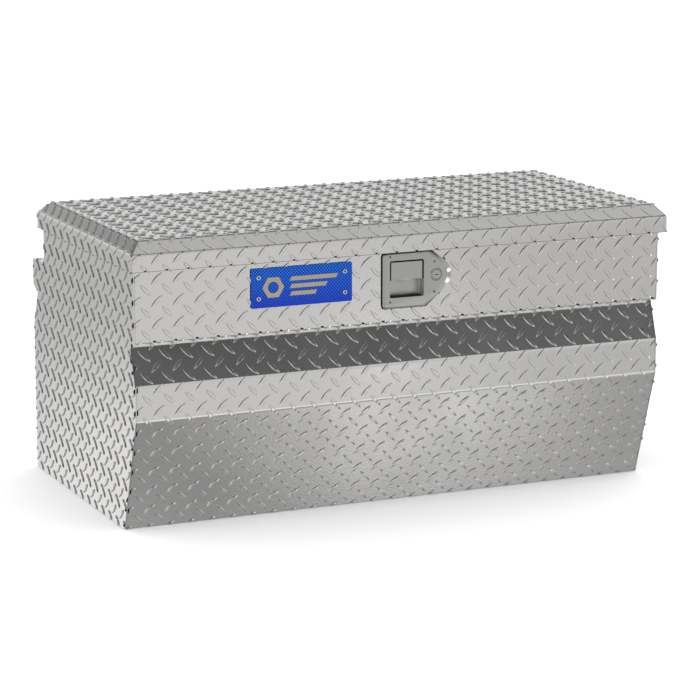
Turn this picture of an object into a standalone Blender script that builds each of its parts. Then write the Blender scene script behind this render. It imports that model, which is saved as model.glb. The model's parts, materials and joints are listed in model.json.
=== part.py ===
"""A wedge-front truck tool box: a folded tub, a one-piece lid on a piano hinge, a paddle latch and two gas struts.

X runs along the box, Y from its front to its back, Z up. The origin is under the middle of the box, on the
floor's underside. Sizes are in metres; those the trade gives in inches are written as inches times INCH.
"""

import math

import bmesh
import bpy
from mathutils import Vector

INCH = 0.0254
GAP = 0.0003  # between two pieces that touch
SHEET = 0.002  # diamond plate
THIN = 0.0015  # liner, brackets

# Overall sizes
BODY_LENGTH = 36.0 * INCH
OVERALL_DEPTH = 20.3 * INCH
OVERALL_HEIGHT = 18.3 * INCH

# Front of the tub, from the top down and from the lid's front face back
SHOULDER_DROP = 6.3 * INCH
BAND_TOP_DROP = 8.93 * INCH
BAND_BOTTOM_DROP = 11.11 * INCH
LID_FRONT_OVERHANG = 0.6 * INCH
SHOULDER_INSET = 0.8 * INCH
BAND_PROUD = 0.09 * INCH
WEDGE_INSET = 2.36 * INCH

# Back of the tub, from the top down and from the rear wall forward
LEDGE_DROP = 4.19 * INCH
LEDGE_HEIGHT = 1.71 * INCH
LEDGE_DEPTH = 2.39 * INCH
NOTCH_DROP = 6.32 * INCH
NOTCH_DEPTH = 0.88 * INCH
REAR_FOLD_DROP = 8.5 * INCH

# Lid
LID_SKIRT = 1.03 * INCH
LID_BEVEL_HEIGHT = 0.75 * INCH
LID_BEVEL_SIDE = 0.67 * INCH
LID_BEVEL_FRONT = 0.72 * INCH
LID_BEVEL_REAR = 0.98 * INCH
LID_SIDE_OVERHANG = 0.32 * INCH
FOLD_RADIUS = 0.0022

# Rim of the tub and its seal
SEAL_HEIGHT = 0.4 * INCH
SEAL_WIDTH = 0.5 * INCH
RIM_FLANGE = 1.0 * INCH
RIM_LEG = 0.5 * INCH
LINER_BELOW_BEVEL = 0.11 * INCH

# Piano hinge
HINGE_RADIUS = 0.09 * INCH
HINGE_PIN_RADIUS = 0.038 * INCH
HINGE_LEAF = 0.75 * INCH
HINGE_LEAF_THICKNESS = 0.045 * INCH
HINGE_BELOW_SKIRT = 0.12 * INCH
HINGE_END_MARGIN = 1.0 * INCH
HINGE_LID_CLEARANCE = 0.0005  # between the barrel and the lid's rear skirt
KNUCKLES = 13

# Paddle latch
LATCH_X = -0.02 * INCH
LATCH_BELOW_SKIRT = 1.775 * INCH
LATCH_LEFT = 1.64 * INCH
LATCH_UP = 1.71 * INCH
LATCH_DOWN = 1.865 * INCH
LATCH_CORNER = 0.3 * INCH
LATCH_TOP_RIGHT = 1.72 * INCH  # where the top edge turns down to the nose
LATCH_BOTTOM_RIGHT = 1.38 * INCH
NOSE_RADIUS = 1.03 * INCH
LOCK_OFFSET = 2.05 * INCH
LOCK_RISE = 0.12 * INCH
PLATE_BASE = 0.001
PLATE_RISE = 0.0022
PLATE_SLOPE = 0.16 * INCH
GASKET = 0.0008
DISH_HALF = 1.18 * INCH
DISH_DEPTH = 0.62 * INCH
DISH_WALL = 0.06 * INCH
PADDLE_SIDE_GAP = 0.12 * INCH
PADDLE_HEIGHT = 1.12 * INCH
PADDLE_THICKNESS = 0.1 * INCH
PADDLE_SCOOP = 0.05 * INCH  # how far the lower edge bows down
PADDLE_SET_BACK = 0.03 * INCH
PADDLE_PIN_RADIUS = 0.055 * INCH
PADDLE_BARREL_RADIUS = 0.125 * INCH
PADDLE_PIN_DROP = 0.3 * INCH
PADDLE_BARRELS = ((-1.0 * INCH, 0.3 * INCH), (0.8 * INCH, 1.0 * INCH))
PADDLE_SPRING = (0.36 * INCH, 0.74 * INCH)
COIL_WIRE = 0.018 * INCH
COIL_CLEARANCE = 0.02 * INCH
ARM_LENGTH = 0.78 * INCH
ARM_HALF_WIDTH = 0.2 * INCH
ARM_THICKNESS = 0.1 * INCH
ARM_SLOT_DROP = 0.5 * INCH
ARM_SLOT_SIDE = 0.001
LATCH_SCREW_LEFT = (-1.14 * INCH, 1.435 * INCH)
LATCH_SCREW_RIGHT = (1.9 * INCH, 0.96 * INCH)

# Catch behind the latch
HOOK_PIN_BACK = 1.55 * INCH  # behind the tub's front face
HOOK_PIN_RISE = 0.1 * INCH  # above the latch's middle
HOOK_PIN_RADIUS = 0.1 * INCH
HOOK_HALF_WIDTH = 0.15 * INCH
HOOK_BOSS_RADIUS = 0.24 * INCH
HOOK_NOSE_RISE = 1.62 * INCH  # the nose's underside above the pin
HOOK_NOSE_REACH = 0.32 * INCH
BRACKET_HALF_WIDTH = 0.5 * INCH
BRACKET_HEIGHT = 0.8 * INCH
BRACKET_REACH = 0.3 * INCH  # behind the pin
BRACKET_ABOVE_PIN = 0.25 * INCH
STEM_FRONT = 0.18 * INCH  # in front of the pin
STEM_BACK = 0.1 * INCH
STEM_KNEE = 0.42 * INCH
LEVER_LAP = 0.08 * INCH  # under the paddle's arm
LEVER_CLEARANCE = 0.02 * INCH
LEVER_DEPTH = 0.2 * INCH
LEVER_TOP = 0.16 * INCH
NOSE_CREST = (0.22 * INCH, 0.26 * INCH)
NOSE_TIP = 0.05 * INCH
STRIKER_RADIUS = 0.12 * INCH
STRIKER_HALF_WIDTH = 0.36 * INCH
STRIKER_BEND = 0.16 * INCH
STRIKER_PLATE_HALF = (0.8 * INCH, 0.35 * INCH)
STRIKER_PLATE_THICKNESS = 0.1 * INCH
STRIKER_CLEARANCE = 0.04 * INCH  # the nose stands this far in front of the bar's path

# Lock
LOCK_RADIUS = 0.4 * INCH
LOCK_PLUG_RADIUS = 0.32 * INCH
LOCK_LENGTH = 0.95 * INCH
LOCK_LIP = 0.0008
LOCK_EDGE = 0.0006
KEYWAY_LENGTH = 0.3 * INCH
KEYWAY_WIDTH = 0.05 * INCH
CAM_LENGTH = 1.3 * INCH
CAM_WIDTH = 0.36 * INCH

# Badge plate
BADGE_X = -7.08 * INCH
BADGE_BELOW_SKIRT = 1.665 * INCH
BADGE_LENGTH = 6.72 * INCH
BADGE_HEIGHT = 2.46 * INCH
BADGE_THICKNESS = 0.001
BADGE_CORNER = 0.1 * INCH
BADGE_STAND_OFF = 0.0016  # the plate lies on the treads
BADGE_RIVET_X = 2.87 * INCH
BADGE_RIVET_Z = 0.655 * INCH

# Blind rivets
RIVET_HEAD_RADIUS = 0.14 * INCH
RIVET_HEAD_HEIGHT = 0.055 * INCH
RIVET_SHANK_RADIUS = 0.07 * INCH
RIVET_CORE_RADIUS = 0.05 * INCH
RIVET_TAIL = 0.12 * INCH

# Gas struts, from the hinge's axis
STRUT_BODY_PIVOT = (-1.82 * INCH, -2.0 * INCH)
STRUT_LID_PIVOT = (-10.22 * INCH, 0.1 * INCH)
STRUT_INSET = 1.6 * INCH  # from the tub's end to the strut's middle
STRUT_TUBE_RADIUS = 0.35 * INCH
STRUT_ROD_RADIUS = 0.157 * INCH
STRUT_EYE_RADIUS = 0.34 * INCH
STRUT_EYE_THICKNESS = 0.36 * INCH
STRUT_PIN_RADIUS = 0.15 * INCH
STRUT_TUBE_TOP = 1.15 * INCH  # from the lid's pivot down to the tube's top
STRUT_ROD_INSIDE = 5.0 * INCH
STRUT_BRACKET_RADIUS = 0.6 * INCH
STRUT_NECK = 0.2 * INCH
STRUT_WALL = 0.06 * INCH
STUD_FOOT = 0.1 * INCH
STUD_PAST_EYE = 0.08 * INCH
LID_STUD = 0.06 * INCH
LID_BRACKET_DROP = 0.3 * INCH
LID_BRACKET_HALF = 0.35 * INCH

# Places worked out from the sizes above
HALF = BODY_LENGTH / 2
FRONT_Y = -OVERALL_DEPTH / 2
REAR_Y = OVERALL_DEPTH / 2
FACE_Y = FRONT_Y + LID_FRONT_OVERHANG
BAND_Y = FACE_Y - BAND_PROUD
SHOULDER_Y = FACE_Y + SHOULDER_INSET
TOE_Y = BAND_Y + WEDGE_INSET
RECESS_Y = REAR_Y - LEDGE_DEPTH
SHOULDER_Z = OVERALL_HEIGHT - SHOULDER_DROP
BAND_TOP_Z = OVERALL_HEIGHT - BAND_TOP_DROP
BAND_BOTTOM_Z = OVERALL_HEIGHT - BAND_BOTTOM_DROP
LEDGE_Z = OVERALL_HEIGHT - LEDGE_DROP
BEVEL_Z = OVERALL_HEIGHT - LID_BEVEL_HEIGHT
SKIRT_Z = BEVEL_Z - LID_SKIRT
LINER_Z = BEVEL_Z - LINER_BELOW_BEVEL  # top of the liner
SEAL_TOP_Z = LINER_Z - THIN - GAP
RIM_Z = SEAL_TOP_Z - SEAL_HEIGHT - GAP
LID_HALF = HALF + LID_SIDE_OVERHANG
SPAN = HALF - SHEET - GAP  # half the length between the two side panels
HINGE_Y = RECESS_Y + GAP + HINGE_RADIUS
LID_REAR_Y = HINGE_Y + HINGE_RADIUS + HINGE_LID_CLEARANCE + SHEET
HINGE_Z = SKIRT_Z - HINGE_BELOW_SKIRT
LATCH_Z = SKIRT_Z - LATCH_BELOW_SKIRT
LOCK_X = LATCH_X + LOCK_OFFSET
LOCK_Z = LATCH_Z + LOCK_RISE
PLATE_BACK_Y = FACE_Y - 2 * GAP - GASKET
PLATE_FRONT_Y = PLATE_BACK_Y - PLATE_BASE - PLATE_RISE
PADDLE_TOP_Z = LATCH_Z + DISH_HALF - PADDLE_SIDE_GAP
PADDLE_BACK_Y = PLATE_FRONT_Y + PADDLE_SET_BACK + PADDLE_THICKNESS
PADDLE_PIN_Y = PADDLE_BACK_Y + 0.9 * PADDLE_BARREL_RADIUS
PADDLE_PIN_Z = PADDLE_TOP_Z - PADDLE_PIN_DROP
DISH_BACK_Y = PLATE_FRONT_Y + DISH_DEPTH + DISH_WALL
HOOK_PIN_Y = FACE_Y + HOOK_PIN_BACK
HOOK_PIN_Z = LATCH_Z + HOOK_PIN_RISE
HOOK_NOSE_Z = HOOK_PIN_Z + HOOK_NOSE_RISE
STRIKER_Y = HOOK_PIN_Y + HOOK_NOSE_REACH + STRIKER_CLEARANCE + STRIKER_RADIUS
STRIKER_Z = HOOK_NOSE_Z - GAP - STRIKER_RADIUS
BADGE_Z = SKIRT_Z - BADGE_BELOW_SKIRT

FRONT_PROFILE = [
    (SHOULDER_Y, SHOULDER_Z - GAP),
    (BAND_Y, BAND_TOP_Z),
    (BAND_Y, BAND_BOTTOM_Z),
    (TOE_Y, 0.0),
]
REAR_PROFILE = [
    (REAR_Y, 0.0),
    (REAR_Y, OVERALL_HEIGHT - REAR_FOLD_DROP),
    (REAR_Y - NOTCH_DEPTH, OVERALL_HEIGHT - NOTCH_DROP),
    (REAR_Y, LEDGE_Z - LEDGE_HEIGHT),
    (REAR_Y, LEDGE_Z),
    (RECESS_Y, LEDGE_Z),
    (RECESS_Y, RIM_Z),
]


# Scene, collections and materials


def clear_scene():
    for obj in list(bpy.data.objects):
        bpy.data.objects.remove(obj, do_unlink=True)


def new_collection(name, hidden=False):
    collection = bpy.data.collections.new(name)
    bpy.context.scene.collection.children.link(collection)
    collection.hide_render = hidden
    return collection


def new_material(name, colour, metallic, roughness):
    material = bpy.data.materials.new(name)
    material.use_nodes = True
    shader = material.node_tree.nodes["Principled BSDF"]
    shader.inputs["Base Color"].default_value = (*colour, 1.0)
    shader.inputs["Metallic"].default_value = metallic
    shader.inputs["Roughness"].default_value = roughness
    return material


clear_scene()
PARTS = new_collection("truck_tool_box")
TOOLS = new_collection("cutters", hidden=True)
PLATE_METAL = new_material("diamond_plate", (0.78, 0.79, 0.80), 1.0, 0.25)
SHEET_METAL = new_material("mill_finish_sheet", (0.68, 0.69, 0.70), 1.0, 0.4)
STAINLESS = new_material("satin_stainless", (0.55, 0.55, 0.54), 1.0, 0.35)
STEEL = new_material("zinc_plated_steel", (0.60, 0.60, 0.58), 1.0, 0.4)
BLACK_STEEL = new_material("black_painted_steel", (0.03, 0.03, 0.03), 0.0, 0.4)
CHROME = new_material("chromed_rod", (0.80, 0.80, 0.80), 1.0, 0.08)
RUBBER = new_material("black_rubber", (0.02, 0.02, 0.02), 0.0, 0.8)
FOAM = new_material("rigid_foam", (0.85, 0.80, 0.65), 0.0, 0.9)
BLUE = new_material("blue_badge", (0.02, 0.06, 0.45), 0.0, 0.3)


# Shapes


def adopt(name, data, material, collection=None):
    obj = bpy.data.objects.new(name, data)
    (collection or PARTS).objects.link(obj)
    if material:
        data.materials.append(material)
    return obj


def mark_as_tool(obj):
    obj.hide_render = True
    obj.display_type = "WIRE"
    return obj


def arc(centre, radius, start, end, steps=8):
    """Points along a circle's arc, angles in degrees, both ends included."""
    turn = [math.radians(start + (end - start) * i / steps) for i in range(steps + 1)]
    return [(centre[0] + radius * math.cos(a), centre[1] + radius * math.sin(a)) for a in turn]


def circle(centre, radius, steps=16):
    return arc(centre, radius, 0, 360, steps)[:-1]


PLANES = {
    "YZ": ((math.pi / 2, 0, math.pi / 2), 0),
    "XZ": ((math.pi / 2, 0, 0), 1),
    "XY": ((0, 0, 0), 2),
}


def flat_part(name, outlines, thickness, plane, middle, material):
    """A flat piece from closed outlines in a plane, the later ones being holes. middle is where it is centred."""
    curve = bpy.data.curves.new(name, "CURVE")
    curve.dimensions = "2D"
    curve.fill_mode = "BOTH"
    curve.extrude = thickness / 2
    for outline in outlines:
        spline = curve.splines.new("POLY")
        spline.points.add(len(outline) - 1)
        for point, (u, v) in zip(spline.points, outline):
            point.co = (u, v, 0, 1)
        spline.use_cyclic_u = True
    obj = adopt(name, curve, material)
    rotation, axis = PLANES[plane]
    obj.rotation_euler = rotation
    obj.location[axis] = middle
    return obj


def as_mesh(obj, material):
    """The curve object made a mesh object of the same name, with its caps welded to its sides."""
    bpy.context.view_layer.update()
    evaluated = obj.evaluated_get(bpy.context.evaluated_depsgraph_get())
    mesh = bpy.data.meshes.new_from_object(evaluated)
    shape = bmesh.new()
    shape.from_mesh(mesh)
    bmesh.ops.remove_doubles(shape, verts=shape.verts, dist=0.00001)
    shape.to_mesh(mesh)
    shape.free()
    name, place = obj.name, obj.matrix_world.copy()
    bpy.data.objects.remove(obj, do_unlink=True)
    mesh.materials.clear()
    solid = adopt(name, mesh, material)
    solid.matrix_world = place
    return solid


def add_cube(shape, low, high):
    made = bmesh.ops.create_cube(shape, size=1.0)
    low, high = Vector(low), Vector(high)
    for vert in made["verts"]:
        for i in range(3):
            vert.co[i] = low[i] if vert.co[i] < 0 else high[i]
    return made["verts"]


def boxes(name, spans, material):
    """One mesh of axis-aligned boxes, each given as its lowest and highest corner."""
    shape = bmesh.new()
    for low, high in spans:
        add_cube(shape, low, high)
    mesh = bpy.data.meshes.new(name)
    shape.to_mesh(mesh)
    shape.free()
    return adopt(name, mesh, material, PARTS if material else TOOLS)


def box_tool(name, *spans):
    return mark_as_tool(boxes(name, spans, None))


def rod(name, start, end, radius, material, steps=20):
    """A round bar from start to end."""
    start, end = Vector(start), Vector(end)
    shape = bmesh.new()
    bmesh.ops.create_cone(
        shape, cap_ends=True, segments=steps, radius1=radius, radius2=radius, depth=(end - start).length
    )
    mesh = bpy.data.meshes.new(name)
    shape.to_mesh(mesh)
    shape.free()
    obj = adopt(name, mesh, material, PARTS if material else TOOLS)
    obj.location = (start + end) / 2
    obj.rotation_euler = (end - start).to_track_quat("Z", "Y").to_euler()
    mesh.shade_smooth()
    mesh.set_sharp_from_angle(angle=math.radians(40))
    return obj


def rod_tool(name, start, end, radius, steps=20):
    return mark_as_tool(rod(name, start, end, radius, None, steps))


def turned(name, profile, material, location, rotation, steps=20):
    """A profile of (radius, height) turned about its own Z axis, down the outer side from axis to axis."""
    mesh = bpy.data.meshes.new(name)
    points = [(r, 0, h) for r, h in profile]
    mesh.from_pydata(points, [(i, i + 1) for i in range(len(points) - 1)], [])
    obj = adopt(name, mesh, material)
    obj.location = location
    obj.rotation_euler = rotation
    screw = obj.modifiers.new("turn", "SCREW")
    screw.steps = steps
    screw.render_steps = steps
    screw.use_merge_vertices = True
    screw.merge_threshold = 0.00001
    return obj


def combine(obj, other, operation):
    modifier = obj.modifiers.new(f"{operation.lower()}_{other.name}", "BOOLEAN")
    modifier.operation = operation
    modifier.object = other
    if other.name not in TOOLS.objects:
        PARTS.objects.unlink(other)
        TOOLS.objects.link(other)
    mark_as_tool(other)


def cut(obj, *cutters):
    for cutter in cutters:
        combine(obj, cutter, "DIFFERENCE")


def join(obj, *others):
    for other in others:
        combine(obj, other, "UNION")


def soften(obj, width, segments=2):
    bevel = obj.modifiers.new("edges", "BEVEL")
    bevel.width = width
    bevel.segments = segments
    bevel.limit_method = "ANGLE"
    bevel.angle_limit = math.radians(10)


def folded_sheet(name, profile, half_length, material):
    """A sheet folded along X. Its outer face is the profile of (y, z), on the right as the profile runs."""
    shape = bmesh.new()
    verts = [shape.verts.new((-half_length, y, z)) for y, z in profile]
    edges = [shape.edges.new(pair) for pair in zip(verts, verts[1:])]
    swept = bmesh.ops.extrude_edge_only(shape, edges=edges)["geom"]
    bmesh.ops.translate(
        shape, verts=[v for v in swept if isinstance(v, bmesh.types.BMVert)], vec=(2 * half_length, 0, 0)
    )
    shape.normal_update()
    (y0, z0), (y1, z1) = profile[:2]
    middle = Vector(((y0 + y1) / 2, (z0 + z1) / 2))
    first = min(shape.faces, key=lambda face: (face.calc_center_median().yz - middle).length)
    if first.normal.dot((0, z1 - z0, y0 - y1)) < 0:
        bmesh.ops.reverse_faces(shape, faces=shape.faces)
    mesh = bpy.data.meshes.new(name)
    shape.to_mesh(mesh)
    shape.free()
    obj = adopt(name, mesh, material)
    soften(obj, FOLD_RADIUS)
    thicken(obj, SHEET)
    return obj


def thicken(obj, thickness):
    shell = obj.modifiers.new("thickness", "SOLIDIFY")
    shell.thickness = thickness
    shell.offset = -1
    shell.use_even_offset = True
    shell.use_quality_normals = True


def pivot(name, location):
    """An empty on a joint's axis, which carries the pieces that turn or slide there."""
    empty = bpy.data.objects.new(name, None)
    empty.location = location
    empty.empty_display_size = 0.03
    PARTS.objects.link(empty)
    return empty


def carry(parent, *children):
    bpy.context.view_layer.update()
    for child in children:
        child.parent = parent
        child.matrix_parent_inverse = parent.matrix_world.inverted()


# Tub


def make_side_panels():
    outline = FRONT_PROFILE[::-1]
    outline[-1] = (SHOULDER_Y, SHOULDER_Z)
    outline += [(FACE_Y, SHOULDER_Z), (FACE_Y, RIM_Z)]
    outline += REAR_PROFILE[::-1]
    for side, name in ((-1, "left_side_panel"), (1, "right_side_panel")):
        flat_part(name, [outline], SHEET, "YZ", side * (HALF - SHEET / 2), PLATE_METAL)


def make_upper_front_panel():
    """The flat face that carries the latch. Its lower edge turns back over the top of the wedge sheet."""
    return_y = SHOULDER_Y + 2 * SHEET
    profile = [(return_y, SHOULDER_Z), (FACE_Y, SHOULDER_Z), (FACE_Y, RIM_Z)]
    panel = folded_sheet("upper_front_panel", profile[::-1], SPAN, PLATE_METAL)
    hole = DISH_HALF + DISH_WALL + GAP
    low = (LATCH_X - hole, FACE_Y - 0.01, LATCH_Z - hole)
    high = (LATCH_X + hole, FACE_Y + 0.01, LATCH_Z + hole)
    lock_hole = through_hole("lock_cutout", LOCK_X, LOCK_Z, LOCK_RADIUS + GAP)
    cut(panel, box_tool("dish_cutout", (low, high)), lock_hole)
    for i, (x, z) in enumerate(latch_rivet_places() + badge_rivet_places()):
        cut(panel, through_hole(f"rivet_hole_{i + 1}", x, z, RIVET_SHANK_RADIUS + GAP))


def through_hole(name, x, z, radius):
    return rod_tool(name, (x, FACE_Y - 0.015, z), (x, FACE_Y + 0.015, z), radius)


def make_lower_front_sheet():
    folded_sheet("lower_front_sheet", FRONT_PROFILE, SPAN, PLATE_METAL)


def make_rear_sheet():
    folded_sheet("rear_sheet", REAR_PROFILE, SPAN, PLATE_METAL)


def make_floor_panel():
    front = TOE_Y + SHEET + GAP
    back = REAR_Y - SHEET - GAP
    boxes("floor_panel", [((-SPAN, front, 0), (SPAN, back, SHEET))], SHEET_METAL)


def make_rim_frame():
    """An angle round the inside of the tub's top: a leg on the walls and a flange that carries the seal."""
    front, back = FACE_Y + SHEET + GAP, RECESS_Y - SHEET - GAP
    flange_under = RIM_Z - THIN
    frame = boxes("rim_frame", [((-SPAN, front, RIM_Z - RIM_LEG), (SPAN, back, RIM_Z))], SHEET_METAL)
    below = box_tool(
        "rim_below",
        ((-SPAN + THIN, front + THIN, RIM_Z - RIM_LEG - 0.01), (SPAN - THIN, back - THIN, flange_under)),
    )
    mouth = box_tool(
        "rim_mouth",
        (
            (-SPAN + RIM_FLANGE, front + RIM_FLANGE, RIM_Z - 0.05),
            (SPAN - RIM_FLANGE, back - RIM_FLANGE, RIM_Z + 0.01),
        ),
    )
    cut(frame, below, mouth)


def make_bulb_seal():
    front, back = FACE_Y + SHEET + GAP, RECESS_Y - SHEET - GAP
    outer = (RIM_FLANGE - SEAL_WIDTH) / 2
    inner = outer + SEAL_WIDTH
    outline = [
        (-SPAN + outer, front + outer),
        (SPAN - outer, front + outer),
        (SPAN - outer, back - outer),
        (-SPAN + outer, back - outer),
    ]
    hole = [
        (-SPAN + inner, front + inner),
        (SPAN - inner, front + inner),
        (SPAN - inner, back - inner),
        (-SPAN + inner, back - inner),
    ]
    seal = flat_part("bulb_seal", [outline, hole], SEAL_HEIGHT, "XY", RIM_Z + GAP + SEAL_HEIGHT / 2, RUBBER)
    soften(as_mesh(seal, RUBBER), SEAL_HEIGHT / 4, 3)


# Lid


def make_lid_skin():
    """A shallow pan: skirts, a sloped band all round, and the flat top."""
    shape = bmesh.new()
    add_cube(shape, (-LID_HALF, FRONT_Y, SKIRT_Z), (LID_HALF, LID_REAR_Y, BEVEL_Z))
    shape.normal_update()
    bottom = [f for f in shape.faces if f.normal.z < -0.5]
    bmesh.ops.delete(shape, geom=bottom, context="FACES_ONLY")
    top = [f for f in shape.faces if f.normal.z > 0.5]
    raised = bmesh.ops.extrude_face_region(shape, geom=top)["geom"]
    bmesh.ops.delete(shape, geom=top, context="FACES_ONLY")
    for vert in (v for v in raised if isinstance(v, bmesh.types.BMVert)):
        vert.co.x -= math.copysign(LID_BEVEL_SIDE, vert.co.x)
        vert.co.y += LID_BEVEL_FRONT if vert.co.y < 0 else -LID_BEVEL_REAR
        vert.co.z = OVERALL_HEIGHT
    bmesh.ops.recalc_face_normals(shape, faces=shape.faces)
    if sum(f.normal.z for f in shape.faces) < 0:
        bmesh.ops.reverse_faces(shape, faces=shape.faces)
    mesh = bpy.data.meshes.new("lid_skin")
    shape.to_mesh(mesh)
    shape.free()
    skin = adopt("lid_skin", mesh, PLATE_METAL)
    soften(skin, FOLD_RADIUS)
    thicken(skin, SHEET)
    return skin


def make_lid_liner():
    inset = SHEET + GAP
    return boxes(
        "lid_liner",
        [
            (
                (-LID_HALF + inset, FRONT_Y + inset, LINER_Z - THIN),
                (LID_HALF - inset, LID_REAR_Y - inset, LINER_Z),
            )
        ],
        SHEET_METAL,
    )


def make_lid_foam():
    """A slab that fills the lid, with sides that slope in under the lid's sloped band."""
    inset = 1.6 * (SHEET + GAP)
    shape = bmesh.new()
    low = (-LID_HALF + inset, FRONT_Y + inset, LINER_Z + GAP)
    high = (LID_HALF - inset, LID_REAR_Y - inset, OVERALL_HEIGHT - SHEET - GAP)
    for vert in add_cube(shape, low, high):
        if vert.co.z > BEVEL_Z:
            vert.co.x -= math.copysign(LID_BEVEL_SIDE, vert.co.x)
            vert.co.y += LID_BEVEL_FRONT if vert.co.y < 0 else -LID_BEVEL_REAR
    mesh = bpy.data.meshes.new("lid_foam_core")
    shape.to_mesh(mesh)
    shape.free()
    return adopt("lid_foam_core", mesh, FOAM)


# Piano hinge


def leaf_outline(side):
    """A leaf with a barrel, in (y, z). side -1 hangs down on the wall, +1 stands on the skirt."""
    radius, thick = HINGE_RADIUS, HINGE_LEAF_THICKNESS
    tuck = math.degrees(math.acos(1 - thick / radius))
    barrel = arc((0, 0), radius, 180, -180 + tuck, 18)
    points = [(-radius, -HINGE_LEAF)] + barrel + [(-radius + thick, -HINGE_LEAF)]
    bore = circle((0, 0), HINGE_PIN_RADIUS + GAP, 12)
    turn = 1 if side < 0 else -1
    return [[(HINGE_Y + turn * y, HINGE_Z + turn * z) for y, z in line] for line in (points, bore)]


def knuckle_cutter(name, parity, side):
    """Boxes round every second knuckle, which clear one leaf's barrel where the other leaf has its own."""
    half = HALF - HINGE_END_MARGIN
    pitch = 2 * half / KNUCKLES
    reach = 2 * HINGE_RADIUS
    low, high = (-HINGE_RADIUS - GAP, reach) if side < 0 else (-reach, HINGE_RADIUS + GAP)
    spans = []
    for i in range(KNUCKLES):
        if i % 2 == parity:
            continue
        start = -half + i * pitch - (GAP / 2 if i else 0.001)
        end = -half + (i + 1) * pitch + (GAP / 2 if i < KNUCKLES - 1 else 0.001)
        spans.append(((start, HINGE_Y - reach, HINGE_Z + low), (end, HINGE_Y + reach, HINGE_Z + high)))
    return box_tool(name, *spans)


def make_hinge():
    length = 2 * (HALF - HINGE_END_MARGIN)
    leaves = []
    for name, parity, side in (("hinge_body_leaf", 0, -1), ("hinge_lid_leaf", 1, 1)):
        leaf = as_mesh(flat_part(name, leaf_outline(side), length, "YZ", 0, STAINLESS), STAINLESS)
        cut(leaf, knuckle_cutter(f"{name}_gaps", parity, side))
        leaves.append(leaf)
    half = length / 2
    rod("hinge_pin", (-half, HINGE_Y, HINGE_Z), (half, HINGE_Y, HINGE_Z), HINGE_PIN_RADIUS, STEEL, 12)
    return leaves[1]


# Rivets


def latch_rivet_places():
    places = []
    for x, rise in (LATCH_SCREW_LEFT, LATCH_SCREW_RIGHT):
        places += [(LATCH_X + x, LATCH_Z + rise), (LATCH_X + x, LATCH_Z - rise)]
    return places


def badge_rivet_places():
    return [(BADGE_X + i * BADGE_RIVET_X, BADGE_Z + j * BADGE_RIVET_Z) for i in (-1, 1) for j in (1, -1)]


def make_rivet(name, x, z, seat_y, head_radius):
    """A blind rivet. Its head sits at seat_y, its core is open and its tail has spread behind the panel."""
    grip = FACE_Y + SHEET + GAP - seat_y
    core_depth = RIVET_HEAD_HEIGHT * 0.8
    profile = [
        (0, RIVET_HEAD_HEIGHT - core_depth),
        (RIVET_CORE_RADIUS, RIVET_HEAD_HEIGHT - core_depth),
        (RIVET_CORE_RADIUS, RIVET_HEAD_HEIGHT),
        (head_radius * 0.72, RIVET_HEAD_HEIGHT * 0.8),
        (head_radius, 0),
        (RIVET_SHANK_RADIUS, 0),
        (RIVET_SHANK_RADIUS, -grip - GAP),
        (RIVET_SHANK_RADIUS * 1.45, -grip - GAP),
        (RIVET_SHANK_RADIUS * 1.3, -grip - RIVET_TAIL),
        (0, -grip - RIVET_TAIL),
    ]
    turned(name, profile, STEEL, (x, seat_y, z), (math.pi / 2, 0, 0), 16)


# Badge


def rounded_rectangle(centre, half_u, half_v, radius):
    u, v = centre
    points = []
    for i, (a, b) in enumerate(((1, 1), (-1, 1), (-1, -1), (1, -1))):
        corner = (u + a * (half_u - radius), v + b * (half_v - radius))
        points += arc(corner, radius, 90 * i, 90 * i + 90, 4)
    return points


def make_badge():
    outline = rounded_rectangle((BADGE_X, BADGE_Z), BADGE_LENGTH / 2, BADGE_HEIGHT / 2, BADGE_CORNER)
    holes = [circle(place, RIVET_SHANK_RADIUS + GAP, 12) for place in badge_rivet_places()]
    back = FACE_Y - BADGE_STAND_OFF
    flat_part("badge_plate", [outline] + holes, BADGE_THICKNESS, "XZ", back - BADGE_THICKNESS / 2, BLUE)
    for i, (x, z) in enumerate(badge_rivet_places()):
        make_rivet(f"badge_rivet_{i + 1}", x, z, back - BADGE_THICKNESS - GAP, RIVET_HEAD_RADIUS)


# Latch


def latch_outline(grow=0.0):
    """A rounded rectangle on the left that runs into a nose round the lock, in (x, z)."""
    top, bottom = LATCH_Z + LATCH_UP + grow, LATCH_Z - LATCH_DOWN - grow
    left = LATCH_X - LATCH_LEFT - grow
    radius, corner = NOSE_RADIUS + grow, LATCH_CORNER + grow
    turns = [(LATCH_X + x + 0.4 * grow, z) for x, z in ((LATCH_TOP_RIGHT, top), (LATCH_BOTTOM_RIGHT, bottom))]
    touches = []
    for sign, (x, z) in zip((1, -1), turns):
        reach = Vector((x - LOCK_X, sign * (z - LOCK_Z)))
        lean = math.atan2(reach.y, reach.x) - math.acos(radius / reach.length)
        touches.append(sign * math.degrees(lean))
    nose = arc((LOCK_X, LOCK_Z), radius, *touches, 12)
    lower_left = arc((left + corner, bottom + corner), corner, 270, 180, 4)
    upper_left = arc((left + corner, top - corner), corner, 180, 90, 4)
    return turns[:1] + nose + turns[1:] + lower_left + upper_left


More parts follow.
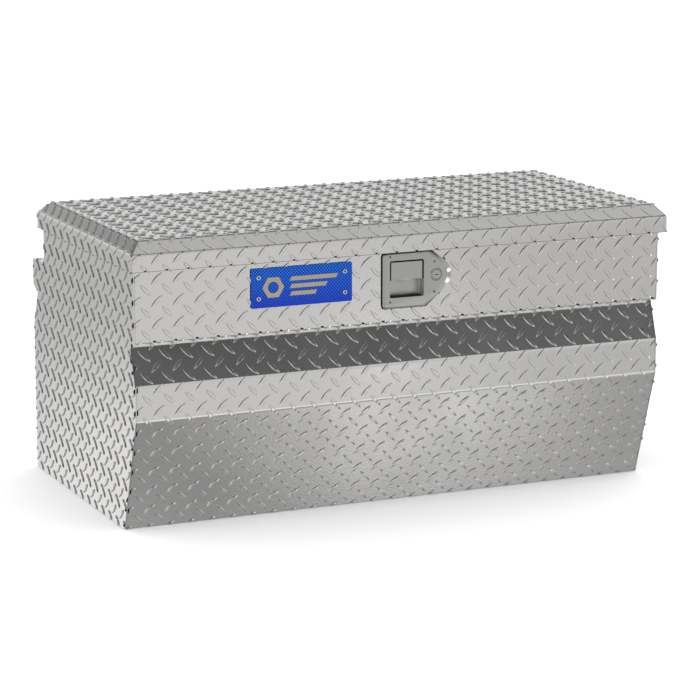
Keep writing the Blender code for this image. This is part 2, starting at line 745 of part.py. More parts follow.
def lofted_plate(name, rings, material):
    """A plate in the XZ plane, lofted from back to front through outlines of equal length, as (y, outline)."""
    mesh = bpy.data.meshes.new(name)
    count = len(rings[0][1])
    verts = [(x, y, z) for y, outline in rings for x, z in outline]
    faces = [
        (r * count + i, r * count + (i + 1) % count, (r + 1) * count + (i + 1) % count, (r + 1) * count + i)
        for r in range(len(rings) - 1)
        for i in range(count)
    ]
    faces += [tuple(range(count))[::-1], tuple(range((len(rings) - 1) * count, len(verts)))]
    mesh.from_pydata(verts, [], faces)
    shape = bmesh.new()
    shape.from_mesh(mesh)
    bmesh.ops.recalc_face_normals(shape, faces=shape.faces)
    shape.to_mesh(mesh)
    shape.free()
    return adopt(name, mesh, material)


def make_latch_housing():
    """A pressed plate with sloping edges and a square dish, which the paddle half covers."""
    rings = [
        (PLATE_BACK_Y, latch_outline()),
        (PLATE_BACK_Y - PLATE_BASE, latch_outline()),
        (PLATE_FRONT_Y, latch_outline(-PLATE_SLOPE)),
    ]
    plate = lofted_plate("latch_housing", rings, STAINLESS)
    outer, back = DISH_HALF + DISH_WALL, DISH_BACK_Y
    pan = boxes(
        "dish_pan",
        [
            (
                (LATCH_X - outer, PLATE_BACK_Y - PLATE_BASE / 2, LATCH_Z - outer),
                (LATCH_X + outer, back, LATCH_Z + outer),
            )
        ],
        STAINLESS,
    )
    inside = box_tool(
        "dish_inside",
        (
            (LATCH_X - DISH_HALF, PLATE_FRONT_Y - 0.01, LATCH_Z - DISH_HALF),
            (LATCH_X + DISH_HALF, back - DISH_WALL, LATCH_Z + DISH_HALF),
        ),
    )
    arm_side = ARM_HALF_WIDTH + ARM_SLOT_SIDE
    slot = box_tool(
        "arm_slot",
        (
            (LATCH_X - arm_side, back - 2 * DISH_WALL, PADDLE_PIN_Z - ARM_SLOT_DROP),
            (LATCH_X + arm_side, back + 0.01, PADDLE_PIN_Z + ARM_THICKNESS),
        ),
    )
    reach = DISH_HALF + 2 * DISH_WALL
    pin_holes = rod_tool(
        "paddle_pin_holes",
        (LATCH_X - reach, PADDLE_PIN_Y, PADDLE_PIN_Z),
        (LATCH_X + reach, PADDLE_PIN_Y, PADDLE_PIN_Z),
        PADDLE_PIN_RADIUS + GAP,
        12,
    )
    join(plate, pan)
    cut(plate, inside, slot, through_hole("plate_lock_hole", LOCK_X, LOCK_Z, LOCK_RADIUS + GAP))
    for i, (x, z) in enumerate(latch_rivet_places()):
        cut(plate, through_hole(f"plate_rivet_hole_{i + 1}", x, z, RIVET_SHANK_RADIUS + GAP))
        make_rivet(f"latch_rivet_{i + 1}", x, z, PLATE_FRONT_Y - GAP, RIVET_SHANK_RADIUS * 1.5)
    cut(plate, pin_holes)


def make_latch_gasket():
    outer = DISH_HALF + DISH_WALL + GAP
    holes = [
        [
            (LATCH_X - outer, LATCH_Z - outer),
            (LATCH_X + outer, LATCH_Z - outer),
            (LATCH_X + outer, LATCH_Z + outer),
            (LATCH_X - outer, LATCH_Z + outer),
        ],
        circle((LOCK_X, LOCK_Z), LOCK_RADIUS + GAP),
    ]
    holes += [circle(place, RIVET_SHANK_RADIUS + GAP, 12) for place in latch_rivet_places()]
    middle = FACE_Y - GAP - GASKET / 2
    flat_part("latch_gasket", [latch_outline(-0.001)] + holes, GASKET, "XZ", middle, RUBBER)


def make_paddle():
    """A plate hinged along its top. Its arm reaches back through the dish and presses on the catch."""
    half = DISH_HALF - PADDLE_SIDE_GAP
    bottom = PADDLE_TOP_Z - PADDLE_HEIGHT
    lip = [(half * (1 - i / 4), bottom + PADDLE_SCOOP * (1 - (1 - i / 4) ** 2)) for i in range(9)]
    outline = [(LATCH_X - half, PADDLE_TOP_Z), (LATCH_X + half, PADDLE_TOP_Z)]
    outline += [(LATCH_X + x, z) for x, z in lip]
    middle = PADDLE_BACK_Y - PADDLE_THICKNESS / 2
    flat = flat_part("latch_paddle", [outline], PADDLE_THICKNESS, "XZ", middle, STAINLESS)
    paddle = as_mesh(flat, STAINLESS)
    pin = (PADDLE_PIN_Y, PADDLE_PIN_Z)
    barrels = []
    for i, (start, end) in enumerate(PADDLE_BARRELS):
        ends = (LATCH_X + start, *pin), (LATCH_X + end, *pin)
        barrels.append(rod(f"paddle_barrel_{i}", *ends, PADDLE_BARREL_RADIUS, STAINLESS))
    arm_top = PADDLE_PIN_Z + ARM_THICKNESS / 2
    low = (LATCH_X - ARM_HALF_WIDTH, PADDLE_PIN_Y, arm_top - ARM_THICKNESS)
    high = (LATCH_X + ARM_HALF_WIDTH, PADDLE_PIN_Y + ARM_LENGTH, arm_top)
    join(paddle, *barrels, boxes("paddle_arm", [(low, high)], STAINLESS))
    bore_ends = (LATCH_X - DISH_HALF, *pin), (LATCH_X + DISH_HALF, *pin)
    cut(paddle, rod_tool("paddle_bore", *bore_ends, PADDLE_PIN_RADIUS + GAP, 12))
    reach = DISH_HALF + DISH_WALL
    rod("paddle_pin", (LATCH_X - reach, *pin), (LATCH_X + reach, *pin), PADDLE_PIN_RADIUS, STEEL, 12)
    start, end = PADDLE_SPRING
    coil("paddle_spring", (LATCH_X + start, *pin), (LATCH_X + end, *pin), PADDLE_PIN_RADIUS, 5)
    carry(pivot("paddle_axis", (LATCH_X, *pin)), paddle)


def coil(name, start, end, pin_radius, turns):
    """A close-wound torsion spring on a pin along X."""
    ring = pin_radius + COIL_WIRE + GAP
    curve = bpy.data.curves.new(name, "CURVE")
    curve.dimensions = "3D"
    curve.bevel_depth = COIL_WIRE
    curve.bevel_resolution = 1
    curve.use_fill_caps = True
    steps = 10 * turns
    spline = curve.splines.new("POLY")
    spline.points.add(steps)
    for i, point in enumerate(spline.points):
        share = i / steps
        angle = 2 * math.pi * turns * share
        x = start[0] + COIL_WIRE + (end[0] - start[0] - 2 * COIL_WIRE) * share
        point.co = (x, start[1] + ring * math.cos(angle), start[2] + ring * math.sin(angle), 1)
    return adopt(name, curve, STEEL)


def make_catch():
    """A bracket behind the dish holds a hook, which the paddle's arm tips forward, off the lid's striker."""
    base_y = DISH_BACK_Y + GAP
    tip_y = HOOK_PIN_Y + BRACKET_REACH
    outer, inner = BRACKET_HALF_WIDTH, BRACKET_HALF_WIDTH - THIN
    outline = [
        (LATCH_X - outer, base_y),
        (LATCH_X + outer, base_y),
        (LATCH_X + outer, tip_y),
        (LATCH_X + inner, tip_y),
        (LATCH_X + inner, base_y + THIN),
        (LATCH_X - inner, base_y + THIN),
        (LATCH_X - inner, tip_y),
        (LATCH_X - outer, tip_y),
    ]
    top_z = HOOK_PIN_Z + BRACKET_ABOVE_PIN
    flat = flat_part("catch_bracket", [outline], BRACKET_HEIGHT, "XY", top_z - BRACKET_HEIGHT / 2, STEEL)
    bracket = as_mesh(flat, STEEL)
    pin = (HOOK_PIN_Y, HOOK_PIN_Z)
    reach = BRACKET_HALF_WIDTH + GAP
    hole_ends = (LATCH_X - 2 * reach, *pin), (LATCH_X + 2 * reach, *pin)
    cut(bracket, rod_tool("hook_pin_holes", *hole_ends, HOOK_PIN_RADIUS + GAP, 16))
    rod("hook_pin", (LATCH_X - reach, *pin), (LATCH_X + reach, *pin), HOOK_PIN_RADIUS, STEEL, 16)
    spring_start = (LATCH_X + HOOK_HALF_WIDTH + COIL_CLEARANCE, *pin)
    spring_end = (LATCH_X + inner - COIL_CLEARANCE, *pin)
    coil("hook_spring", spring_start, spring_end, HOOK_PIN_RADIUS, 4)
    hook = flat_part("latch_hook", hook_outline(), 2 * HOOK_HALF_WIDTH, "YZ", LATCH_X, STEEL)
    carry(pivot("hook_axis", (LATCH_X, *pin)), hook)


def hook_outline():
    """Lever forward, under the paddle's arm; stem up; nose back, over the striker. In (y, z)."""
    y, z = HOOK_PIN_Y, HOOK_PIN_Z
    lever_y = PADDLE_PIN_Y + ARM_LENGTH - LEVER_LAP
    lever_z = PADDLE_PIN_Z - ARM_THICKNESS / 2 - LEVER_CLEARANCE
    nose_y = y + HOOK_NOSE_REACH
    boss = arc((y, z), HOOK_BOSS_RADIUS, 30, -160, 10)
    points = boss + [
        (lever_y, lever_z - LEVER_DEPTH),
        (lever_y, lever_z),
        (lever_y + LEVER_TOP, lever_z),
        (y - STEM_FRONT, z + STEM_KNEE),
        (y - STEM_FRONT, HOOK_NOSE_Z + NOSE_CREST[0]),
        (y - STEM_FRONT + LEVER_TOP, HOOK_NOSE_Z + NOSE_CREST[1]),
        (nose_y, HOOK_NOSE_Z + NOSE_TIP),
        (nose_y, HOOK_NOSE_Z),
        (y + STEM_BACK, HOOK_NOSE_Z),
    ]
    return [points, circle((y, z), HOOK_PIN_RADIUS + GAP)]


def make_striker():
    """A U-shaped bar on a plate under the lid's liner."""
    top = LINER_Z - THIN - GAP
    plate_low = top - STRIKER_PLATE_THICKNESS
    half_x, half_y = STRIKER_PLATE_HALF
    low, high = (LATCH_X - half_x, STRIKER_Y - half_y, plate_low), (LATCH_X + half_x, STRIKER_Y + half_y, top)
    plate = boxes("striker_plate", [(low, high)], STEEL)
    curve = bpy.data.curves.new("striker_bar", "CURVE")
    curve.dimensions = "3D"
    curve.bevel_depth = STRIKER_RADIUS
    curve.bevel_resolution = 2
    curve.use_fill_caps = True
    bend = STRIKER_BEND
    inner = STRIKER_HALF_WIDTH - bend
    route = [(LATCH_X - STRIKER_HALF_WIDTH, plate_low - GAP)]
    route += arc((LATCH_X - inner, STRIKER_Z + bend), bend, 180, 270, 4)
    route += arc((LATCH_X + inner, STRIKER_Z + bend), bend, 270, 360, 4)
    route += [(LATCH_X + STRIKER_HALF_WIDTH, plate_low - GAP)]
    spline = curve.splines.new("POLY")
    spline.points.add(len(route) - 1)
    for point, (x, z) in zip(spline.points, route):
        point.co = (x, STRIKER_Y, z, 1)
    return plate, adopt("striker_bar", curve, STEEL)


# Lock


def make_lock():
    centre = (LOCK_X, PLATE_FRONT_Y - 0.5 * GAP, LOCK_Z)
    facing = (math.pi / 2, 0, 0)
    bore, lip = LOCK_PLUG_RADIUS + GAP, LOCK_LIP
    barrel = [
        (bore, lip),
        (LOCK_RADIUS - LOCK_EDGE, lip),
        (LOCK_RADIUS, lip - LOCK_EDGE),
        (LOCK_RADIUS, -LOCK_LENGTH),
        (bore, -LOCK_LENGTH),
        (bore, lip),
    ]
    turned("lock_barrel", barrel, CHROME, centre, facing, 28)
    plug = turned(
        "lock_plug",
        [
            (0, lip / 2),
            (LOCK_PLUG_RADIUS - LOCK_EDGE, lip / 2),
            (LOCK_PLUG_RADIUS, lip / 2 - LOCK_EDGE),
            (LOCK_PLUG_RADIUS, -LOCK_LENGTH - GAP),
            (0, -LOCK_LENGTH - GAP),
        ],
        CHROME,
        centre,
        facing,
        28,
    )
    cut(
        plug,
        box_tool(
            "keyway",
            (
                (LOCK_X - KEYWAY_LENGTH / 2, PLATE_FRONT_Y - 0.01, LOCK_Z - KEYWAY_WIDTH / 2),
                (LOCK_X + KEYWAY_LENGTH / 2, PLATE_FRONT_Y + 0.006, LOCK_Z + KEYWAY_WIDTH / 2),
            ),
        ),
    )
    half = CAM_WIDTH / 2
    outline = arc((LOCK_X, LOCK_Z), half, 0, 180, 8)
    outline += arc((LOCK_X, LOCK_Z - CAM_LENGTH + half), half, 180, 360, 8)
    cam_y = centre[1] + LOCK_LENGTH + 2 * GAP + THIN / 2
    cam = flat_part("lock_cam", [outline], THIN, "XZ", cam_y, STEEL)
    carry(pivot("lock_axis", centre), plug, cam)


# Gas struts


def strut_pivots():
    body = Vector((HINGE_Y + STRUT_BODY_PIVOT[0], HINGE_Z + STRUT_BODY_PIVOT[1]))
    lid = Vector((HINGE_Y + STRUT_LID_PIVOT[0], HINGE_Z + STRUT_LID_PIVOT[1]))
    return body, lid


def strut_eye(name, x, centre, angle, neck):
    """A ring round a pivot with a neck along the strut, whose direction is angle in degrees."""
    half = STRUT_ROD_RADIUS * 1.3
    spread = math.degrees(math.asin(half / STRUT_EYE_RADIUS))
    ring = arc((0, 0), STRUT_EYE_RADIUS, spread, 360 - spread, 20)
    points = ring + [(neck, -half), (neck, half)]
    c, s = math.cos(math.radians(angle)), math.sin(math.radians(angle))
    points = [(centre[0] + u * c - v * s, centre[1] + u * s + v * c) for u, v in points]
    bore = circle(centre, STRUT_PIN_RADIUS + GAP)
    return flat_part(name, [points, bore], STRUT_EYE_THICKNESS, "YZ", x, BLACK_STEEL)


def make_strut(side, word):
    body, lid = strut_pivots()
    x = side * (HALF - STRUT_INSET)
    along = lid - body
    length, angle = along.length, math.degrees(math.atan2(along.y, along.x))
    lean = (math.radians(angle - 90), 0, 0)
    neck = STRUT_EYE_RADIUS + STRUT_NECK
    tube_start, tube_end = neck + GAP, length - STRUT_TUBE_TOP
    bore, wall = STRUT_ROD_RADIUS + GAP, STRUT_WALL
    floor = length - neck - STRUT_ROD_INSIDE - GAP
    tube = [
        (0, floor),
        (bore, floor),
        (bore, tube_end),
        (STRUT_TUBE_RADIUS - wall, tube_end),
        (STRUT_TUBE_RADIUS, tube_end - wall),
        (STRUT_TUBE_RADIUS, tube_start + wall),
        (STRUT_TUBE_RADIUS - wall, tube_start),
        (0, tube_start),
    ]
    base = (x, body.x, body.y)
    cylinder = turned(f"strut_cylinder_{word}", tube, BLACK_STEEL, base, lean, 20)
    lower_eye = strut_eye(f"strut_lower_eye_{word}", x, body, angle, neck)
    upper_eye = strut_eye(f"strut_upper_eye_{word}", x, lid, angle + 180, neck)
    rod_top, rod_low = length - neck - GAP, length - neck - STRUT_ROD_INSIDE
    direction = Vector((0, along.x, along.y)) / length
    origin = Vector(base)
    rod_ends = origin + direction * rod_low, origin + direction * rod_top
    piston_rod = rod(f"strut_rod_{word}", *rod_ends, STRUT_ROD_RADIUS, CHROME, 16)
    swing = pivot(f"strut_axis_{word}", base)
    carry(swing, cylinder, lower_eye)
    slide = pivot(f"strut_slide_{word}", (x, lid.x, lid.y))
    carry(slide, upper_eye, piston_rod)
    carry(swing, slide)
    make_strut_mounts(side, word, body, lid)


def make_strut_mounts(side, word, body, lid):
    """A flanged stud on the side panel, and a hanging plate with a short stud under the lid."""
    inner_face = HALF - SHEET - GAP
    middle = HALF - STRUT_INSET
    far = inner_face - middle + STRUT_EYE_THICKNESS / 2 + STUD_PAST_EYE
    stud = [
        (0, far),
        (STRUT_PIN_RADIUS, far),
        (STRUT_PIN_RADIUS, 2 * STUD_FOOT),
        (STRUT_PIN_RADIUS * 1.8, STUD_FOOT),
        (STRUT_BRACKET_RADIUS, STUD_FOOT),
        (STRUT_BRACKET_RADIUS, 0),
        (0, 0),
    ]
    turn = (0, -side * math.pi / 2, 0)
    turned(f"strut_body_stud_{word}", stud, STEEL, (side * inner_face, body.x, body.y), turn, 20)
    near = middle - STRUT_EYE_THICKNESS / 2 - 2 * GAP
    top = LINER_Z - THIN - GAP
    low, half = lid.y - LID_BRACKET_DROP, LID_BRACKET_HALF
    outline = arc((lid.x, low + half), half, 180, 360, 8)
    outline += [(lid.x + 2 * half, top), (lid.x - 2 * half, top)]
    plate_x = side * (near - LID_STUD - THIN / 2)
    plate = as_mesh(flat_part(f"strut_lid_bracket_{word}", [outline], THIN, "YZ", plate_x, STEEL), STEEL)
    stud_ends = (plate_x, lid.x, lid.y), (side * near, lid.x, lid.y)
    join(plate, rod(f"lid_stud_{word}", *stud_ends, STRUT_PIN_RADIUS, STEEL, 16))
    return plate


# The whole box

make_side_panels()
make_upper_front_panel()
make_lower_front_sheet()
make_rear_sheet()
make_floor_panel()
make_rim_frame()
make_bulb_seal()
LID_PIECES = [make_lid_skin(), make_lid_liner(), make_lid_foam(), make_hinge(), *make_striker()]
make_badge()
make_latch_housing()
make_latch_gasket()
make_paddle()
make_catch()
make_lock()
for side_sign, side_word in ((-1, "left"), (1, "right")):
    make_strut(side_sign, side_word)
    LID_PIECES.append(bpy.data.objects[f"strut_lid_bracket_{side_word}"])
carry(pivot("lid_axis", (0, HINGE_Y, HINGE_Z)), *LID_PIECES)
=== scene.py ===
# %% [markdown]
# # A wedge-front truck chest in diamond plate
# This lesson dresses a finished chest. Its frame is already right: every sheet, hinge, strut and latch
# piece is in its place and moves on its own body. What is missing is what the eye looks for, such as the
# raised bars of the diamond plate, the pressed latch, the printed badge and the way bright aluminium
# reflects a studio.

# %% Load the frame
import math
import bmesh
import bpy
import numpy as np
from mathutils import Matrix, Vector
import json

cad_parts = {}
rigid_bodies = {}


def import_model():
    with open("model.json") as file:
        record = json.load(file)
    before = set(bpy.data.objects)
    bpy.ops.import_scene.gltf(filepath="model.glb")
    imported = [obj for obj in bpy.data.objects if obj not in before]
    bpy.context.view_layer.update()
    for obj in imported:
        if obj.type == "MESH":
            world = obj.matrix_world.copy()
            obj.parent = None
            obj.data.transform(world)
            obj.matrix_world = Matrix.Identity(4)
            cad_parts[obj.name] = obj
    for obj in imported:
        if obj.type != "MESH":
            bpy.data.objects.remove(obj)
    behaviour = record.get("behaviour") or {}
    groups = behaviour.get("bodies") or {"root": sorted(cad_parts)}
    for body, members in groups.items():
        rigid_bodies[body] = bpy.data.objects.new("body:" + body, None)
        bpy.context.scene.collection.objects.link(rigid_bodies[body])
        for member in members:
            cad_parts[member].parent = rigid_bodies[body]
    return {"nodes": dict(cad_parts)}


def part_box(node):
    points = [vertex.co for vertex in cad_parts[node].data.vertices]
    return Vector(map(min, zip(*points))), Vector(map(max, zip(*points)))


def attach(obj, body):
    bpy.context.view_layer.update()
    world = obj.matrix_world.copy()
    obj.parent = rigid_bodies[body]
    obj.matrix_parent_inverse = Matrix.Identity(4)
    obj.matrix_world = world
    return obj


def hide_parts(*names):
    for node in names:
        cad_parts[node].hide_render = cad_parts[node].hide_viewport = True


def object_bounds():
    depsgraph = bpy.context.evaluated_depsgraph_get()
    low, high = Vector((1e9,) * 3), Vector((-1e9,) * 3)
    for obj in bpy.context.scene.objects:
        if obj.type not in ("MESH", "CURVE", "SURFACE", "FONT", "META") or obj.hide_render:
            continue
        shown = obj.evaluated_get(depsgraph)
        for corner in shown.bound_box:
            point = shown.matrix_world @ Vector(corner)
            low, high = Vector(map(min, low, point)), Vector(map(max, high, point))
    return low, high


for leftover in list(bpy.data.objects):
    bpy.data.objects.remove(leftover, do_unlink=True)
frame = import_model()
cad_low, cad_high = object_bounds()
NODES = frame["nodes"]

# %% [markdown]
# ## Sizes that the looks need
# The outer sizes are read from the frame's own pieces, so they can't drift from it. The folds lie inside
# those boxes, so they are named here in inches, as a sheet-metal drawing gives them.

# %% Read the sizes
INCH = 0.0254
HALF = -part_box("left_side_panel")[0].x
LID_LOW, LID_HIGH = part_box("lid_skin")
FACE_LOW, FACE_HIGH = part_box("upper_front_panel")
TOP_Z, SKIRT_Z = LID_HIGH.z, LID_LOW.z
BEVEL_Z = TOP_Z - 0.75 * INCH
BEVEL_SIDE, BEVEL_FRONT, BEVEL_REAR = 0.67 * INCH, 0.72 * INCH, 0.98 * INCH
FACE_Y, SHOULDER_Z, RIM_Z = FACE_LOW.y, FACE_LOW.z, FACE_HIGH.z
BAND_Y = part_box("lower_front_sheet")[0].y
SHOULDER_Y = FACE_Y + 0.8 * INCH
BAND_TOP_Z, BAND_BOTTOM_Z = TOP_Z - 8.93 * INCH, TOP_Z - 11.11 * INCH
TOE_Y = BAND_Y + 2.36 * INCH
REAR_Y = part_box("rear_sheet")[1].y
RECESS_Y = REAR_Y - 2.39 * INCH
LEDGE_Z = TOP_Z - 4.19 * INCH
LIP_Z = LEDGE_Z - 1.71 * INCH
NOTCH_Y, NOTCH_Z = REAR_Y - 0.88 * INCH, TOP_Z - 6.32 * INCH
REAR_FOLD_Z = TOP_Z - 8.5 * INCH
LATCH_X, LATCH_Z = -0.02 * INCH, SKIRT_Z - 1.775 * INCH
LOCK_X, LOCK_Z = LATCH_X + 2.05 * INCH, LATCH_Z + 0.12 * INCH
print(f"lid {2 * LID_HIGH.x:.3f} m long, front face at y = {FACE_Y:.4f}")

# %% [markdown]
# ## Finishes
# Each finish is a small node tree. Rolled aluminium isn't one flat grey: its roughness changes softly
# over a hand's width and its surface carries a fine grain. Noise drives both. The noise reads object
# coordinates, which are metres here, so a scale of 400 means detail about 2.5 mm across.


# %% Build a finish
def finish(name, colour, metallic, roughness, spread=0.0, spread_scale=8.0, grain=0.0, grain_scale=900.0,
           stretch=(1, 1, 1)):
    """A Principled material whose roughness wanders by spread and whose surface carries a fine grain."""
    material = bpy.data.materials.new(name)
    material.use_nodes = True
    nodes, links = material.node_tree.nodes, material.node_tree.links
    shader = nodes["Principled BSDF"]
    shader.inputs["Base Color"].default_value = (*colour, 1.0)
    shader.inputs["Metallic"].default_value = metallic
    shader.inputs["Roughness"].default_value = roughness
    place = nodes.new("ShaderNodeTexCoord")
    scaled = nodes.new("ShaderNodeVectorMath")
    scaled.operation = "MULTIPLY"
    scaled.inputs[1].default_value = stretch
    links.new(place.outputs["Object"], scaled.inputs[0])
    if spread:
        cloud = nodes.new("ShaderNodeTexNoise")
        cloud.inputs["Scale"].default_value = spread_scale
        cloud.inputs["Detail"].default_value = 4.0
        span = nodes.new("ShaderNodeMapRange")
        span.inputs["From Min"].default_value = 0.3
        span.inputs["From Max"].default_value = 0.7
        span.inputs["To Min"].default_value = max(roughness - spread, 0.02)
        span.inputs["To Max"].default_value = roughness + spread
        links.new(scaled.outputs[0], cloud.inputs["Vector"])
        links.new(cloud.outputs["Fac"], span.inputs["Value"])
        links.new(span.outputs[0], shader.inputs["Roughness"])
    if grain:
        fine = nodes.new("ShaderNodeTexNoise")
        fine.inputs["Scale"].default_value = grain_scale
        fine.inputs["Detail"].default_value = 3.0
        bump = nodes.new("ShaderNodeBump")
        bump.inputs["Strength"].default_value = grain
        bump.inputs["Distance"].default_value = 0.0002
        links.new(scaled.outputs[0], fine.inputs["Vector"])
        links.new(fine.outputs["Fac"], bump.inputs["Height"])
        links.new(bump.outputs["Normal"], shader.inputs["Normal"])
    return material


ROLLED = finish("rolled_aluminium", (0.80, 0.79, 0.78), 1.0, 0.115, 0.03, 9.0, 0.22, 320.0)
BAR_METAL = finish("raised_bar_aluminium", (0.80, 0.79, 0.78), 1.0, 0.12, 0.03, 40.0, 0.15, 400.0)
MILL = finish("mill_sheet", (0.62, 0.63, 0.64), 1.0, 0.34, 0.08, 14.0, 0.25, 300.0, (0.08, 1, 1))
SATIN = finish("satin_stainless", (0.50, 0.50, 0.49), 1.0, 0.30, 0.05, 60.0, 0.12, 1500.0, (1, 1, 0.06))
ZINC = finish("zinc_plating", (0.55, 0.55, 0.52), 1.0, 0.38, 0.1, 90.0, 0.2, 700.0)
HARD_CHROME = finish("hard_chrome", (0.80, 0.80, 0.80), 1.0, 0.07, 0.03, 50.0, 0.02, 900.0)
BLACK_PAINT = finish("black_paint", (0.02, 0.02, 0.02), 0.0, 0.32, 0.06, 60.0, 0.2, 500.0)
# Black rubber for the seals; the same finish also paints the shade in the latch's gaps.
RUBBER_AND_SHADE = finish("seal_rubber_and_shade", (0.008, 0.008, 0.008), 0.0, 0.75, 0.1, 40.0, 0.5, 500.0)
FOAM = finish("rigid_foam", (0.80, 0.74, 0.58), 0.0, 0.9, 0.05, 60.0, 0.9, 350.0)
# Near black, this finish is painted shade: it goes on the cut faces of bars, on the dots along sheared
# edges and in the rivets' holes.
SHADE_BLACK = finish("painted_shade_black", (0.004, 0.004, 0.004), 0.2, 0.5, 0.1, 200.0, 0.3, 900.0)
# Near black: the cord under the lid's skirt, painted shade.
SKIRT_SHADE = finish("skirt_shade_line", (0.06, 0.06, 0.06), 1.0, 0.45, 0.1, 90.0, 0.3, 700.0)
ZINC_BRIGHT = finish("bright_zinc", (0.85, 0.85, 0.83), 1.0, 0.3, 0.06, 120.0, 0.05, 900.0)
POLISHED = finish("polished_rim", (0.56, 0.56, 0.55), 1.0, 0.1, 0.04, 80.0, 0.05, 900.0)
CREAM = finish("cream_print", (0.28, 0.235, 0.165), 0.0, 0.35, 0.05, 200.0, 0.1, 900.0)
print("14 finishes")

# %% [markdown]
# ## The badge's blue
# The badge is a blue foil with a grid of small teal dots printed on the slant, stronger towards its top.
# A dot grid is the product of two sine waves, so two wave textures crossed at a right angle make it
# without any picture.


# %% Mix the badge's foil
def badge_foil():
    material = finish("blue_foil", (0.01, 0.05, 0.45), 0.0, 0.4, 0.05, 80.0, 0.1, 900.0)
    material.node_tree.nodes["Principled BSDF"].inputs["Specular IOR Level"].default_value = 0.15
    nodes, links = material.node_tree.nodes, material.node_tree.links
    place = nodes.new("ShaderNodeTexCoord")
    low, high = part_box("badge_plate")
    tones = []
    for turn in (40, -50):
        lean = nodes.new("ShaderNodeMapping")
        lean.inputs["Rotation"].default_value = (0, math.radians(turn), 0)
        wave = nodes.new("ShaderNodeTexWave")
        wave.bands_direction = "X"
        wave.inputs["Scale"].default_value = 82.0
        links.new(place.outputs["Object"], lean.inputs["Vector"])
        links.new(lean.outputs["Vector"], wave.inputs["Vector"])
        tones.append(wave.outputs["Fac"])
    dots = nodes.new("ShaderNodeMath")
    dots.operation = "MULTIPLY"
    links.new(tones[0], dots.inputs[0])
    links.new(tones[1], dots.inputs[1])
    axes = nodes.new("ShaderNodeSeparateXYZ")
    rise = nodes.new("ShaderNodeMapRange")
    rise.inputs["From Min"].default_value = low.z
    rise.inputs["From Max"].default_value = high.z
    rise.inputs["To Min"].default_value = 0.25
    rise.inputs["To Max"].default_value = 0.95
    share = nodes.new("ShaderNodeMath")
    share.operation = "MULTIPLY"
    blend = nodes.new("ShaderNodeMix")
    blend.data_type = "RGBA"
    blend.inputs["A"].default_value = (0.004, 0.012, 0.31, 1)
    blend.inputs["B"].default_value = (0.005, 0.30, 0.62, 1)
    links.new(place.outputs["Object"], axes.inputs[0])
    links.new(axes.outputs["Z"], rise.inputs["Value"])
    links.new(dots.outputs[0], share.inputs[0])
    links.new(rise.outputs[0], share.inputs[1])
    links.new(share.outputs[0], blend.inputs["Factor"])
    links.new(blend.outputs["Result"], nodes["Principled BSDF"].inputs["Base Color"])
    return material


BLUE_FOIL = badge_foil()
print("badge foil")

# %% [markdown]
# ## Paint the frame
# Most of the frame's own pieces have the right shape already, so they only need a finish. One table sorts
# them by the words in their names.

# %% Give every frame piece its finish
PAINT = [
    (ROLLED, ("side_panel", "upper_front", "lower_front", "rear_sheet", "lid_skin")),
    (MILL, ("floor_panel", "rim_frame", "lid_liner")),
    (SATIN, ("latch_housing", "latch_paddle", "lock_barrel", "lock_plug", "hinge_body_leaf",
             "hinge_lid_leaf")),
    (HARD_CHROME, ("strut_rod",)),
    (BLACK_PAINT, ("strut_cylinder", "_eye_")),
    (RUBBER_AND_SHADE, ("bulb_seal", "latch_gasket")),
    (FOAM, ("lid_foam_core",)),
    (BLUE_FOIL, ("badge_plate",)),
]


def painted(name):
    return next((metal for metal, words in PAINT if any(word in name for word in words)), ZINC)


for name, node in NODES.items():
    node.data.materials.clear()
    node.data.materials.append(painted(name))
print(f"{len(NODES)} frame pieces painted")

# %% [markdown]
# ## One raised bar
# Diamond plate is rolled with short bars that lean left and right in turn. Each bar is a lens: pointed at
# both ends, with a nearly flat top and steep flanks. The flanks are what catch light and dark, so the bar
# is a real solid and not a bump map. It is built once, as rings of points across its length.

# %% Shape a bar
PITCH = 1.375 * INCH
BAR_LENGTH, BAR_WIDTH, BAR_HEIGHT, BAR_SUNK = 0.0275, 0.0066, 0.0017, 0.0004
RINGS = [-0.9, -0.66, -0.34, 0.0, 0.34, 0.66, 0.9]
SECTION = [(-1.0, None), (-0.88, 0.72), (-0.70, 1.0), (0.70, 1.0), (0.88, 0.72), (1.0, None)]


def bar_solid():
    """Points and faces of one bar along +X, its foot a little below the sheet's face."""
    points = [(-BAR_LENGTH / 2, 0.0, -BAR_SUNK)]
    for ring in RINGS:
        half = BAR_WIDTH / 2 * (1 - ring ** 2)
        crest = BAR_HEIGHT * (1 - 0.6 * ring ** 6)
        for side, rise in SECTION:
            points.append((ring * BAR_LENGTH / 2, side * half, -BAR_SUNK if rise is None else rise * crest))
    points.append((BAR_LENGTH / 2, 0.0, -BAR_SUNK))
    count, last = len(SECTION), len(points) - 1
    faces = []
    for i in range(count):
        j = (i + 1) % count
        faces.append((0, 1 + i, 1 + j))
        for ring in range(len(RINGS) - 1):
            a, b = 1 + ring * count, 1 + (ring + 1) * count
            faces.append((a + i, b + i, b + j, a + j))
        tail = 1 + (len(RINGS) - 1) * count
        faces.append((tail + i, last, tail + j))
    return np.array(points), faces


BAR_POINTS, BAR_FACES = bar_solid()
print(f"a bar has {len(BAR_POINTS)} points and {len(BAR_FACES)} faces")

# %% [markdown]
# ## A field of bars, cut to a sheet
# The bars sit on a square lattice, with the left-leaning ones half a pitch over and up. A field is made
# flat, as the plate comes from the mill. Bars that cross the sheet's edge are sheared off there, as a
# real blank is, and their cut faces may be painted near black as shade. Only those few need a Boolean;
# bars that lie wholly inside are copied as they are.


